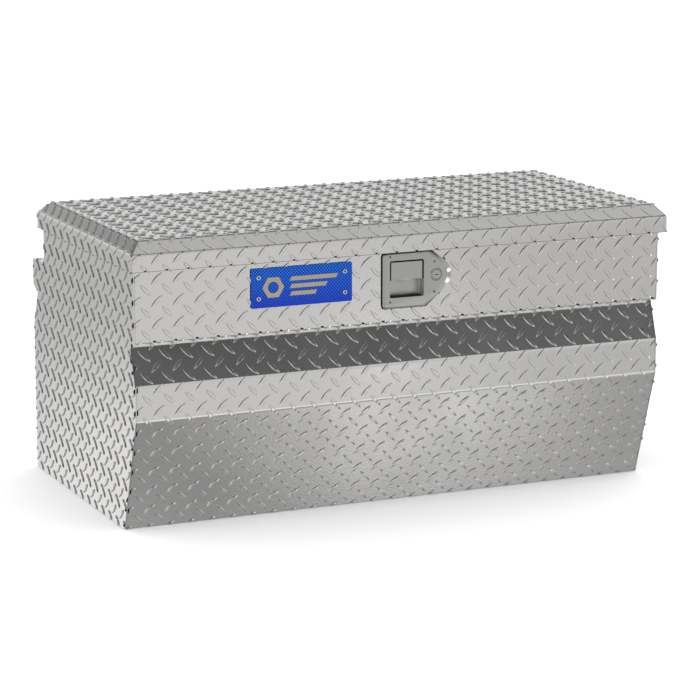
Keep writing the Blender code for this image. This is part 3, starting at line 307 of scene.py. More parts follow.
# %% Lay out and shear the bars
def inside(outline, points):
    """Which points lie within a closed outline."""
    found = np.zeros(len(points), bool)
    for (u0, v0), (u1, v1) in zip(outline, outline[1:] + outline[:1]):
        if v0 == v1:
            continue
        crosses = (v0 > points[:, 1]) != (v1 > points[:, 1])
        found ^= crosses & (points[:, 0] < (u1 - u0) * (points[:, 1] - v0) / (v1 - v0) + u0)
    return found


def solid_from(name, points, faces):
    mesh = bpy.data.meshes.new(name)
    mesh.from_pydata([tuple(p) for p in points], [], faces)
    piece = bpy.data.objects.new(name, mesh)
    bpy.context.scene.collection.objects.link(piece)
    return piece


def shrunk(outline, margin):
    """The outline with every edge moved inward."""
    corners = [Vector(corner) for corner in outline]
    turn = sum(a.cross(b) for a, b in zip(corners, corners[1:] + corners[:1]))
    side = 1 if turn > 0 else -1
    found = []
    for before, corner, after in zip(corners[-1:] + corners[:-1], corners, corners[1:] + corners[:1]):
        into, out = (corner - before).normalized(), (after - corner).normalized()
        inward = (Vector((-into.y, into.x)) + Vector((-out.y, out.x))) * side
        found.append(tuple(corner + inward * (2 * margin / max(inward.length_squared, 0.4))))
    return found


def prism(outline, low, high, slope=0.0, finish_index=1):
    """A closed block over a flat outline, whose walls lean inward by slope for each unit of height."""
    count = len(outline)
    points = [(u, v, h) for h in (low, high) for u, v in shrunk(outline, slope * h)]
    faces = [tuple(range(count))[::-1], tuple(range(count, 2 * count))]
    faces += [(i, (i + 1) % count, count + (i + 1) % count, count + i) for i in range(count)]
    block = solid_from("shear", points, faces)
    face_outward(block.data)
    block.data.materials.append(BAR_METAL)
    block.data.materials.append(SHADE_BLACK)
    block.data.polygons.foreach_set("material_index", [finish_index] * len(block.data.polygons))
    return block


def face_outward(mesh):
    shape = bmesh.new()
    shape.from_mesh(mesh)
    bmesh.ops.recalc_face_normals(shape, faces=shape.faces)
    shape.to_mesh(mesh)
    shape.free()


def carve(piece, tool, operation):
    """Applies a Boolean and removes its tool."""
    step = piece.modifiers.new("carve", "BOOLEAN")
    step.operation = operation
    step.object = tool
    settle(piece)
    bpy.data.objects.remove(tool, do_unlink=True)


def settle(piece):
    """Makes the modifiers' result the piece's own mesh."""
    bpy.context.view_layer.update()
    evaluated = piece.evaluated_get(bpy.context.evaluated_depsgraph_get())
    mesh = bpy.data.meshes.new_from_object(evaluated)
    piece.modifiers.clear()
    piece.data = mesh


DOT_REACH = 0.3


def crossing_on(edge, centre, way):
    """Where a bar's middle line meets an edge line, or None when it passes by."""
    start, end = (Vector(point) for point in edge)
    along = end - start
    denominator = Vector(way).cross(along)
    if abs(denominator) < 1e-9:
        return None
    offset = start - Vector(centre)
    reach, share = offset.cross(along) / denominator, offset.cross(Vector(way)) / denominator
    if abs(reach) > DOT_REACH * BAR_LENGTH or not 0 <= share <= 1:
        return None
    return start + along * share, along.normalized()


def shade_dot(spot, along):
    """A small dark dome of painted shade where a bar meets a sheared edge, longer along the edge."""
    points = [(*spot, DOT_HIGH)]
    for height, share in ((0.95, 0.9), (-0.15, 1.0)):
        for i in range(SIDES):
            turn = 2 * math.pi * i / SIDES
            a = DOT_LONG * share * math.cos(turn)
            b = DOT_WIDE * share * math.sin(turn)
            u = spot.x + a * along.x - b * along.y
            v = spot.y + a * along.y + b * along.x
            points.append((u, v, DOT_HIGH * height))
    return points


# Half length, half width and height of a dot of painted shade.
DOT_LONG, DOT_WIDE, DOT_HIGH = 0.0023, 0.0013, 0.0022
SIDES = 8
DOT_FACES = [(0, 1 + i, 1 + (i + 1) % SIDES) for i in range(SIDES)]
for i in range(SIDES):
    j = (i + 1) % SIDES
    DOT_FACES.append((1 + i, 1 + SIDES + i, 1 + SIDES + j, 1 + j))
DOT_FACES.append(tuple(range(2 * SIDES, SIDES, -1)))


def bar_field(name, outline, slash_at, holes=(), mirrored=False, painted_shade=(), row=(), dark_ends=True):
    """A flat mesh of bars in (along, across, height), sheared to the outline and its holes. Bars that cross
    an edge listed in painted_shade get a dark dot of painted shade there, and so do the places of a row."""
    corners = np.array(outline)
    low, high = corners.min(0) - BAR_LENGTH, corners.max(0) + BAR_LENGTH
    whole, crossing = [], []
    shade_dots = [shade_dot(Vector(spot), Vector((1, 0))) for spot in row]
    for lean, shift in ((1, 0.0), (-1, PITCH / 2)):
        angle = math.radians(45) * lean * (-1 if mirrored else 1)
        turn = np.array([[math.cos(angle), math.sin(angle)], [-math.sin(angle), math.cos(angle)]])
        flat = BAR_POINTS[:, :2] @ turn
        starts = []
        for at, edge in zip(slash_at, low):
            starts.append(at + shift - PITCH * math.ceil((at + shift - edge) / PITCH))
        for u in np.arange(starts[0], high[0], PITCH):
            for v in np.arange(starts[1], high[1], PITCH):
                placed = np.column_stack([flat + (u, v), BAR_POINTS[:, 2]])
                found = [crossing_on(edge, (u, v), turn[0]) for edge in painted_shade]
                shade_dots += [shade_dot(*hit) for hit in found if hit]
                kept = inside(outline, placed)
                for hole in holes:
                    kept &= ~inside(hole, placed)
                if kept.all():
                    whole.append(placed)
                elif kept.any():
                    crossing.append(placed)
    return joined_bars(name, whole, crossing, shade_dots, outline, holes, dark_ends)


SHEAR_SLOPE, SHEAR_REACH = 1.1, 0.003


def shade_dot_row(first, reach, height):
    """One place for each pitch of the plate, between -reach and +reach."""
    start = first - PITCH * math.floor((first + reach) / PITCH)
    return [(u, height) for u in np.arange(start, reach, PITCH)]


def joined_bars(name, whole, crossing, shade_dots, outline, holes, dark_ends):
    pieces = []
    kinds = [("whole", whole, BAR_FACES), ("cut", crossing, BAR_FACES)]
    if shade_dots:
        kinds.append(("painted_shade", shade_dots, DOT_FACES))
    for word, bars, shape_faces in kinds:
        points = np.concatenate(bars)
        step = len(bars[0])
        faces = [tuple(i + k * step for i in face) for k in range(len(bars)) for face in shape_faces]
        pieces.append(solid_from(f"{name}_{word}", points, faces))
        face_outward(pieces[-1].data)
        pieces[-1].data.materials.append(BAR_METAL)
        pieces[-1].data.materials.append(SHADE_BLACK)
        pieces[-1].data.polygons.foreach_set("material_index", [int(word == "painted_shade")] * len(faces))
    # The cut faces get the near-black finish as painted shade: along the outline when dark_ends is set,
    # round the holes always.
    blank = prism(outline, -SHEAR_REACH, SHEAR_REACH, SHEAR_SLOPE * dark_ends, int(dark_ends))
    carve(pieces[1], blank, "INTERSECT")
    for hole in holes:
        carve(pieces[1], prism(hole, -SHEAR_REACH, SHEAR_REACH, -SHEAR_SLOPE), "DIFFERENCE")
    shape = bmesh.new()
    for piece in pieces:
        shape.from_mesh(piece.data)
    mesh = bpy.data.meshes.new(name)
    shape.to_mesh(mesh)
    shape.free()
    for piece in pieces:
        bpy.data.objects.remove(piece, do_unlink=True)
    return mesh


print(f"lattice pitch {PITCH * 1000:.1f} mm")

# %% [markdown]
# ## Folding a field over a bent sheet
# A brake folds the plate after it is rolled, so the bars run unbroken over each fold. The flat field is
# mapped onto the folded section: one flat coordinate stays along the fold, the other is the distance
# walked round the section, and the height goes along the section's outward side. Each fold is rounded
# with a short quadratic curve.

# %% Fold a field
FOLD_REACH = 0.0022


def folded(corners, steps=4):
    """The section's points, outward directions and walked distances. Outward is to the left as it runs."""
    corners = [Vector(corner) for corner in corners]
    first, final = (corners[1] - corners[0]).normalized(), (corners[-1] - corners[-2]).normalized()
    path = [(corners[0], first)]
    for before, corner, after in zip(corners, corners[1:], corners[2:]):
        into, out = (corner - before).normalized(), (after - corner).normalized()
        start, end = corner - FOLD_REACH * into, corner + FOLD_REACH * out
        for i in range(steps + 1):
            t = i / steps
            spot = start * (1 - t) ** 2 + corner * 2 * t * (1 - t) + end * t * t
            path.append((spot, into.lerp(out, t).normalized()))
    path.append((corners[-1], final))
    points = np.array([spot for spot, _ in path])
    outward = np.array([(-way.y, way.x) for _, way in path])
    walked = np.concatenate([[0.0], np.cumsum(np.linalg.norm(np.diff(points, axis=0), axis=1))])
    return points, outward, walked


def length_to(section, corner):
    """The walked distance to the place nearest a corner of the section."""
    points, _, walked = section
    return walked[np.argmin(np.linalg.norm(points - np.array(corner), axis=1))]


def lay(mesh, section, run_axis):
    """Moves a flat field's points onto the section. run_axis is the world axis along the fold."""
    count = len(mesh.vertices)
    flat = np.empty(3 * count)
    mesh.vertices.foreach_get("co", flat)
    flat = flat.reshape(-1, 3)
    points, outward, walked = section
    across = np.clip(flat[:, 1], 0, walked[-1])
    place = np.column_stack([np.interp(across, walked, points[:, k]) for k in (0, 1)])
    side = np.column_stack([np.interp(across, walked, outward[:, k]) for k in (0, 1)])
    side /= np.linalg.norm(side, axis=1)[:, None]
    place += side * flat[:, 2:]
    world = np.empty_like(flat)
    world[:, run_axis] = flat[:, 0]
    world[:, 1 - run_axis] = place[:, 0]
    world[:, 2] = place[:, 1]
    mesh.vertices.foreach_set("co", world.ravel())


def tread_piece(name, mesh, body):
    face_outward(mesh)
    mesh.shade_smooth()
    mesh.set_sharp_from_angle(angle=math.radians(24))
    mesh.materials.append(BAR_METAL)
    mesh.materials.append(SHADE_BLACK)
    piece = bpy.data.objects.new(name, mesh)
    bpy.context.scene.collection.objects.link(piece)
    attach(piece, body)
    print(f"{name}: {len(mesh.polygons)} faces")
    return piece


print("folding tools ready")

# %% [markdown]
# ## Treads of the lid
# The lid is a middle strip that runs from the front skirt over the top to the rear skirt, with a flap at
# each end. The front skirt and its sloped band are welded to the top along the fold, so the two keep
# their own lattices and the bars don't meet there. The strip narrows along the sloped bands, where its
# mitred corners meet the flaps. Along the skirt a row of dark dots, one for each pitch, is painted shade
# where the bars meet the sheared edge.

# %% Lid treads
EDGE, MITRE, OVER_FOLD = 0.0006, 0.0012, 0.003
SKIRT_DOT_X, SKIRT_DOT_UP = 0.0111, 0.0014
LID_HALF = LID_HIGH.x
TOP_HALF = LID_HALF - BEVEL_SIDE
TOP_FRONT, TOP_REAR = LID_LOW.y + BEVEL_FRONT, LID_HIGH.y - BEVEL_REAR
strip = folded([
    (LID_LOW.y, SKIRT_Z), (LID_LOW.y, BEVEL_Z), (TOP_FRONT, TOP_Z),
    (TOP_REAR, TOP_Z), (LID_HIGH.y, BEVEL_Z), (LID_HIGH.y, SKIRT_Z),
])
marks = [length_to(strip, c) for c in (
    (LID_LOW.y, BEVEL_Z), (TOP_FRONT, TOP_Z), (TOP_REAR, TOP_Z), (LID_HIGH.y, BEVEL_Z))]
wide, narrow = LID_HALF - 2 * MITRE, TOP_HALF - OVER_FOLD
front_edge = [(wide, EDGE), (wide, marks[0]), (TOP_HALF - MITRE, marks[1] - EDGE)]
top_edge = [
    (TOP_HALF - MITRE, marks[1] + EDGE), (narrow, marks[1] + OVER_FOLD), (narrow, marks[2] - OVER_FOLD),
    (TOP_HALF - MITRE, marks[2]), (wide, marks[3]), (wide, strip[2][-1] - EDGE),
]
LID_SLASH, TOP_SLASH = (0.0299, 0.019), (0.0102, 0.0202)
strips = [("treads_lid_front", front_edge, LID_SLASH), ("treads_lid_top", top_edge, TOP_SLASH)]
for name, edge, start in strips:
    outline = edge + [(-x, v) for x, v in reversed(edge)]
    row = shade_dot_row(SKIRT_DOT_X, wide, SKIRT_DOT_UP) if edge is front_edge else []
    field = bar_field(name, outline, start, row=row, dark_ends=False)
    lay(field, strip, 0)
    tread_piece(name, field, "lid")

flap = folded([
    (-LID_HALF, SKIRT_Z), (-LID_HALF, BEVEL_Z), (-TOP_HALF, TOP_Z), (-TOP_HALF + 2 * OVER_FOLD, TOP_Z),
])
hip, crown = length_to(flap, (-LID_HALF, BEVEL_Z)), length_to(flap, (-TOP_HALF, TOP_Z))
flap_outline = [
    (LID_LOW.y + 2 * MITRE, EDGE), (LID_HIGH.y - 2 * MITRE, EDGE), (LID_HIGH.y - 2 * MITRE, hip),
    (TOP_REAR - MITRE, crown), (TOP_REAR - OVER_FOLD, crown + OVER_FOLD),
    (TOP_FRONT + OVER_FOLD, crown + OVER_FOLD), (TOP_FRONT + MITRE, crown), (LID_LOW.y + 2 * MITRE, hip),
]
for word, sign in (("left", 1), ("right", -1)):
    start = (LID_SLASH[1] - marks[1] + TOP_FRONT, sign * LID_SLASH[0] + TOP_HALF + crown)
    field = bar_field(f"treads_lid_{word}", flap_outline, start, mirrored=sign < 0, dark_ends=False)
    lay(field, flap, 1)
    if sign < 0:
        for vert in field.vertices:
            vert.co.x = -vert.co.x
    tread_piece(f"treads_lid_{word}", field, "lid")

# %% [markdown]
# ## Treads of the two ends
# The end panels are flat blanks cut to the stepped outline, so their field needs no folding. It is turned
# upright and pushed onto the panel's outer face.

# %% End panel treads
front_line = [(TOE_Y, 0.0), (BAND_Y, BAND_BOTTOM_Z), (BAND_Y, BAND_TOP_Z), (SHOULDER_Y, SHOULDER_Z)]
rear_line = [
    (RECESS_Y, RIM_Z), (RECESS_Y, LEDGE_Z), (REAR_Y, LEDGE_Z), (REAR_Y, LIP_Z), (NOTCH_Y, NOTCH_Z),
    (REAR_Y, REAR_FOLD_Z), (REAR_Y, 0.0),
]
end_outline = front_line + [(FACE_Y, SHOULDER_Z), (FACE_Y, RIM_Z)] + rear_line
END_SLASH = (0.0202 - PITCH / 2, 0.0031 + PITCH / 2)
DOT_INSET = 0.0014
# Dark dots of painted shade go where bars meet the panel's front edges.
dot_line = [(y + DOT_INSET, z) for y, z in front_line + [(FACE_Y, SHOULDER_Z), (FACE_Y, SKIRT_Z)]]
dot_edges = [edge for edge in zip(dot_line, dot_line[1:]) if edge[0][1] != edge[1][1]]
for word, sign in (("left", -1), ("right", 1)):
    field = bar_field(f"treads_{word}_end", end_outline, END_SLASH, mirrored=sign < 0, painted_shade=dot_edges)
    for vert in field.vertices:
        y, z, height = vert.co
        vert.co = (sign * (HALF + height), y, z)
    tread_piece(f"treads_{word}_end", field, "tub")

# %% [markdown]
# ## Treads of the front
# The upper front is a flat face whose lower edge turns back under the shoulder, so its bars wrap round
# that edge. They stop short of the latch plate. Below it one folded sheet makes the slope, the short band
# and the wedge.


# %% Outline of the latch plate
def round_arc(centre, radius, start, end, steps):
    turns = [math.radians(start + (end - start) * i / steps) for i in range(steps + 1)]
    return [(centre[0] + radius * math.cos(a), centre[1] + radius * math.sin(a)) for a in turns]


LATCH_UP, LATCH_DOWN, LATCH_LEFT = 1.71 * INCH, 1.865 * INCH, 1.64 * INCH
NOSE_RADIUS, LATCH_CORNER = 1.03 * INCH, 0.3 * INCH
TOP_TURN, BOTTOM_TURN = 1.72 * INCH, 1.38 * INCH
NOSE_LEAN = (0.748, 0.664)


def latch_outline(grow=0.0, nose=1.0, fine=3):
    """A rounded rectangle whose right side runs into a nose round the lock, in (x, z). The nose grows by
    its own share, and the turns shift along the plate so that the sides keep their lean."""
    top, bottom = LATCH_Z + LATCH_UP + grow, LATCH_Z - LATCH_DOWN - grow
    left = LATCH_X - LATCH_LEFT - grow
    radius, corner = NOSE_RADIUS + nose * grow, LATCH_CORNER + grow
    shift = grow * (nose - NOSE_LEAN[0]) / NOSE_LEAN[1]
    turns = [(LATCH_X + TOP_TURN + shift, top), (LATCH_X + BOTTOM_TURN + shift, bottom)]
    touches = []
    for sign, (x, z) in zip((1, -1), turns):
        reach = Vector((x - LOCK_X, sign * (z - LOCK_Z)))
        touches.append(sign * math.degrees(math.atan2(reach.y, reach.x) - math.acos(radius / reach.length)))
    curve = round_arc((LOCK_X, LOCK_Z), radius, *touches, 12 * fine)
    lower = round_arc((left + corner, bottom + corner), corner, 270, 180, 4 * fine)
    upper = round_arc((left + corner, top - corner), corner, 180, 90, 4 * fine)
    return turns[:1] + curve + turns[1:] + lower + upper


print(f"latch outline of {len(latch_outline())} points")

# %% Front treads
SPAN = FACE_HIGH.x
SHOULDER_RETURN = 0.018
UPPER_FOOT, LATCH_CLEAR = 0.001, 0.0008
UPPER_SLASH_UP, LOWER_SLASH_UP = 0.0298, 0.0303
SHOULDER_DOT_X, SHOULDER_DOT_UP, END_CLEAR = 0.0304, 0.0026, 0.003
upper = folded([(FACE_Y + SHOULDER_RETURN, SHOULDER_Z), (FACE_Y, SHOULDER_Z), (FACE_Y, RIM_Z)])
edge_at = length_to(upper, (FACE_Y, SHOULDER_Z))
upper_top = upper[2][-1] - EDGE
upper_outline = [(-SPAN, UPPER_FOOT), (SPAN, UPPER_FOOT), (SPAN, upper_top), (-SPAN, upper_top)]
latch_hole = [(x, z - SHOULDER_Z + edge_at) for x, z in latch_outline(LATCH_CLEAR, fine=1)]
# Dark dots of painted shade, one for each pitch, along the shoulder's edge.
shoulder_row = shade_dot_row(SHOULDER_DOT_X, SPAN - END_CLEAR, edge_at + SHOULDER_DOT_UP)
field = bar_field("treads_upper_front", upper_outline, (0.0, edge_at + UPPER_SLASH_UP),
                  holes=[latch_hole], row=shoulder_row, dark_ends=False)
lay(field, upper, 0)
tread_piece("treads_upper_front", field, "tub")

lower = folded(front_line)
lower_top = lower[2][-1] - EDGE
lower_outline = [(-SPAN, EDGE), (SPAN, EDGE), (SPAN, lower_top), (-SPAN, lower_top)]
band_at = length_to(lower, (BAND_Y, BAND_TOP_Z))
field = bar_field("treads_lower_front", lower_outline, (0.0, band_at + LOWER_SLASH_UP))
lay(field, lower, 0)
tread_piece("treads_lower_front", field, "tub")

# %% [markdown]
# ## Treads of the rear
# The rear sheet folds in and out over its ledge and its notch. The piano hinge's leaf lies on the top of
# it, so the bars start below the leaf.

# %% Rear treads
LEAF_CLEAR, REAR_SLASH = 0.002, (0.0, 0.012)
HINGE_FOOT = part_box("hinge_body_leaf")[0].z - LEAF_CLEAR
rear = folded(rear_line)
down, foot = RIM_Z - HINGE_FOOT, rear[2][-1] - EDGE
rear_outline = [(-SPAN, down), (SPAN, down), (SPAN, foot), (-SPAN, foot)]
field = bar_field("treads_rear", rear_outline, REAR_SLASH)
lay(field, rear, 0)
tread_piece("treads_rear", field, "tub")

# %% [markdown]
# ## The pressed latch plate
# The frame's latch housing has the right size but plain slopes. A pressed plate has a rolled lip all
# round that drops to a flat field, and a dish with rounded corners. It is lofted through offset outlines,
# then the dish is joined and hollowed with Booleans, as a press would draw it.


# %% Loft the latch plate
def lofted(name, rings):
    """A closed solid through outlines of equal length, each given as (y, outline)."""
    count = len(rings[0][1])
    points = [(x, y, z) for y, outline in rings for x, z in outline]
    faces = [
        (r * count + i, r * count + (i + 1) % count, (r + 1) * count + (i + 1) % count, (r + 1) * count + i)
        for r in range(len(rings) - 1) for i in range(count)
    ]
    faces += [tuple(range(count))[::-1], tuple(range((len(rings) - 1) * count, len(points)))]
    piece = solid_from(name, points, faces)
    face_outward(piece.data)
    return piece


def round_box(half_u, half_v, radius, steps=6):
    """A rounded rectangle about the latch's middle, in (x, z)."""
    points = []
    for i, (a, b) in enumerate(((1, 1), (-1, 1), (-1, -1), (1, -1))):
        corner = (LATCH_X + a * (half_u - radius), LATCH_Z + b * (half_v - radius))
        points += round_arc(corner, radius, 90 * i, 90 * i + 90, steps)
    return points


def round_hole(x, z, radius, steps=32):
    return [(x + radius * math.cos(2 * math.pi * i / steps), z + radius * math.sin(2 * math.pi * i / steps))
            for i in range(steps)]


PLATE_BACK_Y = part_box("latch_gasket")[0].y - 0.0003
PLATE_FRONT_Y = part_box("latch_housing")[0].y
DISH_BACK_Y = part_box("latch_housing")[1].y
DISH_HALF, DISH_WALL = 1.18 * INCH, 0.06 * INCH
DISH_CORNER, HOLLOW_CORNER, PAN_EASE = 0.0046, 0.0032, 0.001
PADDLE_GAP, PADDLE_TALL = 0.12, 1.12
PADDLE_BOTTOM_Z = LATCH_Z + DISH_HALF - (PADDLE_GAP + PADDLE_TALL) * INCH
LATCH_RIVETS = [
    (LATCH_X + x * INCH, LATCH_Z + side * z * INCH)
    for x, z in ((-1.14, 1.435), (1.9, 0.96)) for side in (1, -1)
]
ROLLED_EDGE = [  # distance behind the front, growth of the outline, the nose's share of it
    (0.0014, 0.0, 1.0), (0.0011, -0.0003, 1.0), (0.0001, -0.0034, 2.0), (0.0, -0.0038, 2.0),
]
rings = [(PLATE_BACK_Y, latch_outline())]
rings += [(PLATE_FRONT_Y + depth, latch_outline(grow, nose)) for depth, grow, nose in ROLLED_EDGE]
plate = lofted("latch_plate", rings)
outer, inner = DISH_HALF + DISH_WALL, DISH_HALF
pan = lofted("dish", [
    (PLATE_BACK_Y - 0.0005, round_box(outer, outer, DISH_CORNER)),
    (DISH_BACK_Y - PAN_EASE, round_box(outer, outer, DISH_CORNER)),
    (DISH_BACK_Y, round_box(outer - PAN_EASE, outer - PAN_EASE, DISH_CORNER - PAN_EASE)),
])
carve(plate, pan, "UNION")
hollow = lofted("hollow", [
    (PLATE_FRONT_Y - 0.01, round_box(inner, inner, HOLLOW_CORNER)),
    (DISH_BACK_Y - DISH_WALL - 0.0012, round_box(inner - 0.0006, inner - 0.0006, HOLLOW_CORNER)),
    (DISH_BACK_Y - DISH_WALL, round_box(inner - 0.0018, inner - 0.0018, 0.002)),
])
carve(plate, hollow, "DIFFERENCE")
lock_low, lock_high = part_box("lock_barrel")
LOCK_GAP, RIVET_HOLE = 0.0003, 0.0020
holes = [(LOCK_X, LOCK_Z, (lock_high.x - lock_low.x) / 2 + LOCK_GAP)]
holes += [(x, z, RIVET_HOLE) for x, z in LATCH_RIVETS]
for x, z, radius in holes:
    ring = round_hole(x, z, radius)
    drill = lofted("hole", [(PLATE_FRONT_Y - 0.01, ring), (PLATE_BACK_Y + 0.002, ring)])
    carve(plate, drill, "DIFFERENCE")
SLOT_HALF, SLOT_TALL, SLOT_TOP = 0.0062, 0.014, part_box("latch_paddle")[0].z + 0.0245
slot_ring = [
    (LATCH_X - SLOT_HALF, SLOT_TOP - SLOT_TALL), (LATCH_X + SLOT_HALF, SLOT_TOP - SLOT_TALL),
    (LATCH_X + SLOT_HALF, SLOT_TOP), (LATCH_X - SLOT_HALF, SLOT_TOP),
]
slot_tool = lofted("slot", [(DISH_BACK_Y - 0.004, slot_ring), (DISH_BACK_Y + 0.01, slot_ring)])
carve(plate, slot_tool, "DIFFERENCE")
plate.data.shade_smooth()
plate.data.set_sharp_from_angle(angle=math.radians(35))
plate.data.materials.clear()
plate.data.materials.append(SATIN)
plate.data.materials.append(POLISHED)
NOSE_HALF = 0.8 * INCH
for face in plate.data.polygons:
    in_slope = PLATE_FRONT_Y + 0.0002 < face.center.y < PLATE_FRONT_Y + 0.0009
    beside_lock = face.center.x > LOCK_X and abs(face.center.z - LOCK_Z) < NOSE_HALF
    face.material_index = int(in_slope and face.normal.y < -0.5 and beside_lock)
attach(plate, "tub")
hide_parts("latch_housing")
print(f"latch plate: {len(plate.data.polygons)} faces")

# %% [markdown]
# ## Painted shade round the latch, and the finger lip
# The latch plate is bedded on a rubber gasket. A black cord along its lower and left edges is painted shade
# of the gap there. Black strips beside the paddle, along the dish's floor and behind its top, and a black
# trim on the paddle's upper edge paint the shade of the paddle's gaps. The paddle's lower edge has a
# pressed finger lip that leans back. All of them are plain lofts, since hardly more than their edges show.


# %% Make the shade strips and the lip
def tube_loop(name, points, radius, closed=True):
    """A round cord through points, as a closed mesh."""
    curve = bpy.data.curves.new(name, "CURVE")
    curve.dimensions = "3D"
    curve.bevel_depth = radius
    curve.bevel_resolution = 2
    curve.use_fill_caps = True
    spline = curve.splines.new("POLY")
    spline.points.add(len(points) - 1)
    for point, place in zip(spline.points, points):
        point.co = (*place, 1)
    spline.use_cyclic_u = closed
    made = bpy.data.objects.new(name, curve)
    bpy.context.scene.collection.objects.link(made)
    return as_solid(made)


def as_solid(made):
    """Turns a curve into a mesh piece of the same name."""
    bpy.context.view_layer.update()
    mesh = bpy.data.meshes.new_from_object(made.evaluated_get(bpy.context.evaluated_depsgraph_get()))
    mesh.transform(made.matrix_world)
    name = made.name
    bpy.data.objects.remove(made, do_unlink=True)
    piece = bpy.data.objects.new(name, mesh)
    bpy.context.scene.collection.objects.link(piece)
    face_outward(mesh)
    return piece


def dress(piece, metal, body, angle=35):
    piece.data.shade_smooth()
    piece.data.set_sharp_from_angle(angle=math.radians(angle))
    piece.data.materials.clear()
    piece.data.materials.append(metal)
    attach(piece, body)
    return piece


def block(x0, x1, y0, y1, z0, z1):
    corners = [(x0, z0), (x1, z0), (x1, z1), (x0, z1)]
    return [(y0, corners), (y1, corners)]


BEAD_RADIUS, BEAD_OUT, BEAD_POINTS = 0.00045, 0.0004, 26
cord = [(x, PLATE_BACK_Y - 0.0005, z) for x, z in latch_outline(BEAD_OUT)[-BEAD_POINTS:]]
# A black cord along the plate's lower and left edges: painted shade of the gap.
dress(tube_loop("edge_shade_cord", cord, BEAD_RADIUS, closed=False), RUBBER_AND_SHADE, "tub")
paddle_low, paddle_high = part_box("latch_paddle")
side_gap, floor_z = 0.0003, LATCH_Z - DISH_HALF
# Black strips in the paddle's side gaps and on the dish's floor: painted shade.
strips = [
    ("buffer_left", LATCH_X - inner - 0.0001, paddle_low.x - side_gap, PADDLE_BOTTOM_Z, LATCH_Z + inner),
    ("buffer_right", paddle_high.x + side_gap, LATCH_X + inner + 0.0001, PADDLE_BOTTOM_Z, LATCH_Z + inner),
    ("buffer_floor", LATCH_X - inner, LATCH_X + inner, floor_z - 0.0001, floor_z + 0.0012),
]
for name, x0, x1, z0, z1 in strips:
    back = DISH_BACK_Y - 0.003 if name == "buffer_floor" else PLATE_FRONT_Y + 0.006
    dress(lofted(name, block(x0, x1, PLATE_FRONT_Y + 0.0007, back, z0, z1)), RUBBER_AND_SHADE, "tub")
pan_y, pin_z = DISH_BACK_Y - DISH_WALL, paddle_high.z - 0.3 * INCH
# A black strip behind the paddle's top: painted shade.
curtain = block(LATCH_X - inner, LATCH_X + inner, pan_y - 0.004, pan_y + 0.0002,
                pin_z + 0.004, LATCH_Z + inner)
dress(lofted("gap_shade_top", curtain), RUBBER_AND_SHADE, "tub")
# A black trim on the paddle's upper edge: painted shade of the gap above it.
paddle_top_shade = block(paddle_low.x + 0.0003, paddle_high.x - 0.0003, paddle_low.y + 0.0004, paddle_low.y + 0.0025,
             paddle_high.z - 0.0002, paddle_high.z + 0.0005)
dress(lofted("paddle_gap_shade", paddle_top_shade), RUBBER_AND_SHADE, "paddle")
LIP_DROP, LIP_BACK, LIP_STEPS = 0.0036, 0.0008, 12
LIP_SHARE = 0.6
lip_half = LIP_SHARE * (paddle_high.x - paddle_low.x) / 2
lip_y = paddle_low.y + 0.0004
spans = [-1 + 2 * i / LIP_STEPS for i in range(LIP_STEPS + 1)]
crest = [(LATCH_X + lip_half * t, PADDLE_BOTTOM_Z + 0.002) for t in spans]
sag = [(LATCH_X + lip_half * t, PADDLE_BOTTOM_Z + 0.0008 - LIP_DROP * (1 - t * t)) for t in reversed(spans)]
shelf = crest + [(x, PADDLE_BOTTOM_Z + 0.0006) for x, _ in sag]
lip = lofted("finger_lip", [(lip_y, shelf), (lip_y + LIP_BACK, crest + sag)])
dress(lip, SATIN, "paddle")
print("gasket bead, four buffers, the trim and the finger lip")

# %% [markdown]
# ## Lid edge and fasteners
# The lid's skirt ends in a sheared edge, and a dark cord along it is painted shade, the thin shadow
# line under that edge. The rivets are open blind rivets: a pale rolled ring round a hole painted near black
# as its shade.

# %% Make the skirt's shade cord and the rivets
loop = [(LID_LOW.x, LID_LOW.y), (LID_HIGH.x, LID_LOW.y), (LID_HIGH.x, LID_HIGH.y), (LID_LOW.x, LID_HIGH.y)]
EDGE_INSET, EDGE_RADIUS = 0.0007, 0.0009
inset = []
for x, y in loop:
    inset.append((x - math.copysign(EDGE_INSET, x), y - math.copysign(EDGE_INSET, y), SKIRT_Z + 0.0002))
# The dark cord along the skirt's end is painted shade.
dress(tube_loop("skirt_shade_cord", inset, EDGE_RADIUS), SKIRT_SHADE, "lid")


def turned(name, centre, profile, steps=24):
    """A solid of rings about an axis along Y. The profile is (radius, distance in front of the seat)."""
    x, seat_y, z = centre
    return lofted(name, [(seat_y - rise, round_hole(x, z, radius, steps)) for radius, rise in profile])


HEAD_TALL, SHANK_RADIUS = 0.055 * INCH, 0.0016


def open_rivet(name, radius, hole, rise):
    """Stands for a frame rivet's visible head, its hole painted near black as shade."""
    low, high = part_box(name)
    middle = (low + high) / 2
    seat = low.y + HEAD_TALL
    head = turned(f"{name}_head", (middle.x, seat, middle.z), [
        (SHANK_RADIUS, -(high.y - seat) + 0.0003), (SHANK_RADIUS, 0.0), (radius, 0.0),
        (radius, rise * 0.5), (radius * 0.86, rise), (hole * 1.12, rise), (hole, rise * 0.8),
        (hole * 0.96, rise * 0.2),
    ])
    dress(head, ZINC_BRIGHT, "tub", 50)
    head.data.materials.append(SHADE_BLACK)
    # Faces inside the hole get the near-black finish: painted shade.
    for face in head.data.polygons:
        away = math.hypot(face.center.x - middle.x, face.center.z - middle.z)
        face.material_index = int(face.center.y < seat and away < hole * 1.02)
    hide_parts(name)


RIVETS = {"badge": (0.0037, 0.0017, 0.0010), "latch": (0.0019, 0.0015, 0.0004)}
for number in (1, 2, 3, 4):
    for word, (radius, hole, rise) in RIVETS.items():
        open_rivet(f"{word}_rivet_{number}", radius, hole, rise)
print("skirt edge and 8 open rivets")

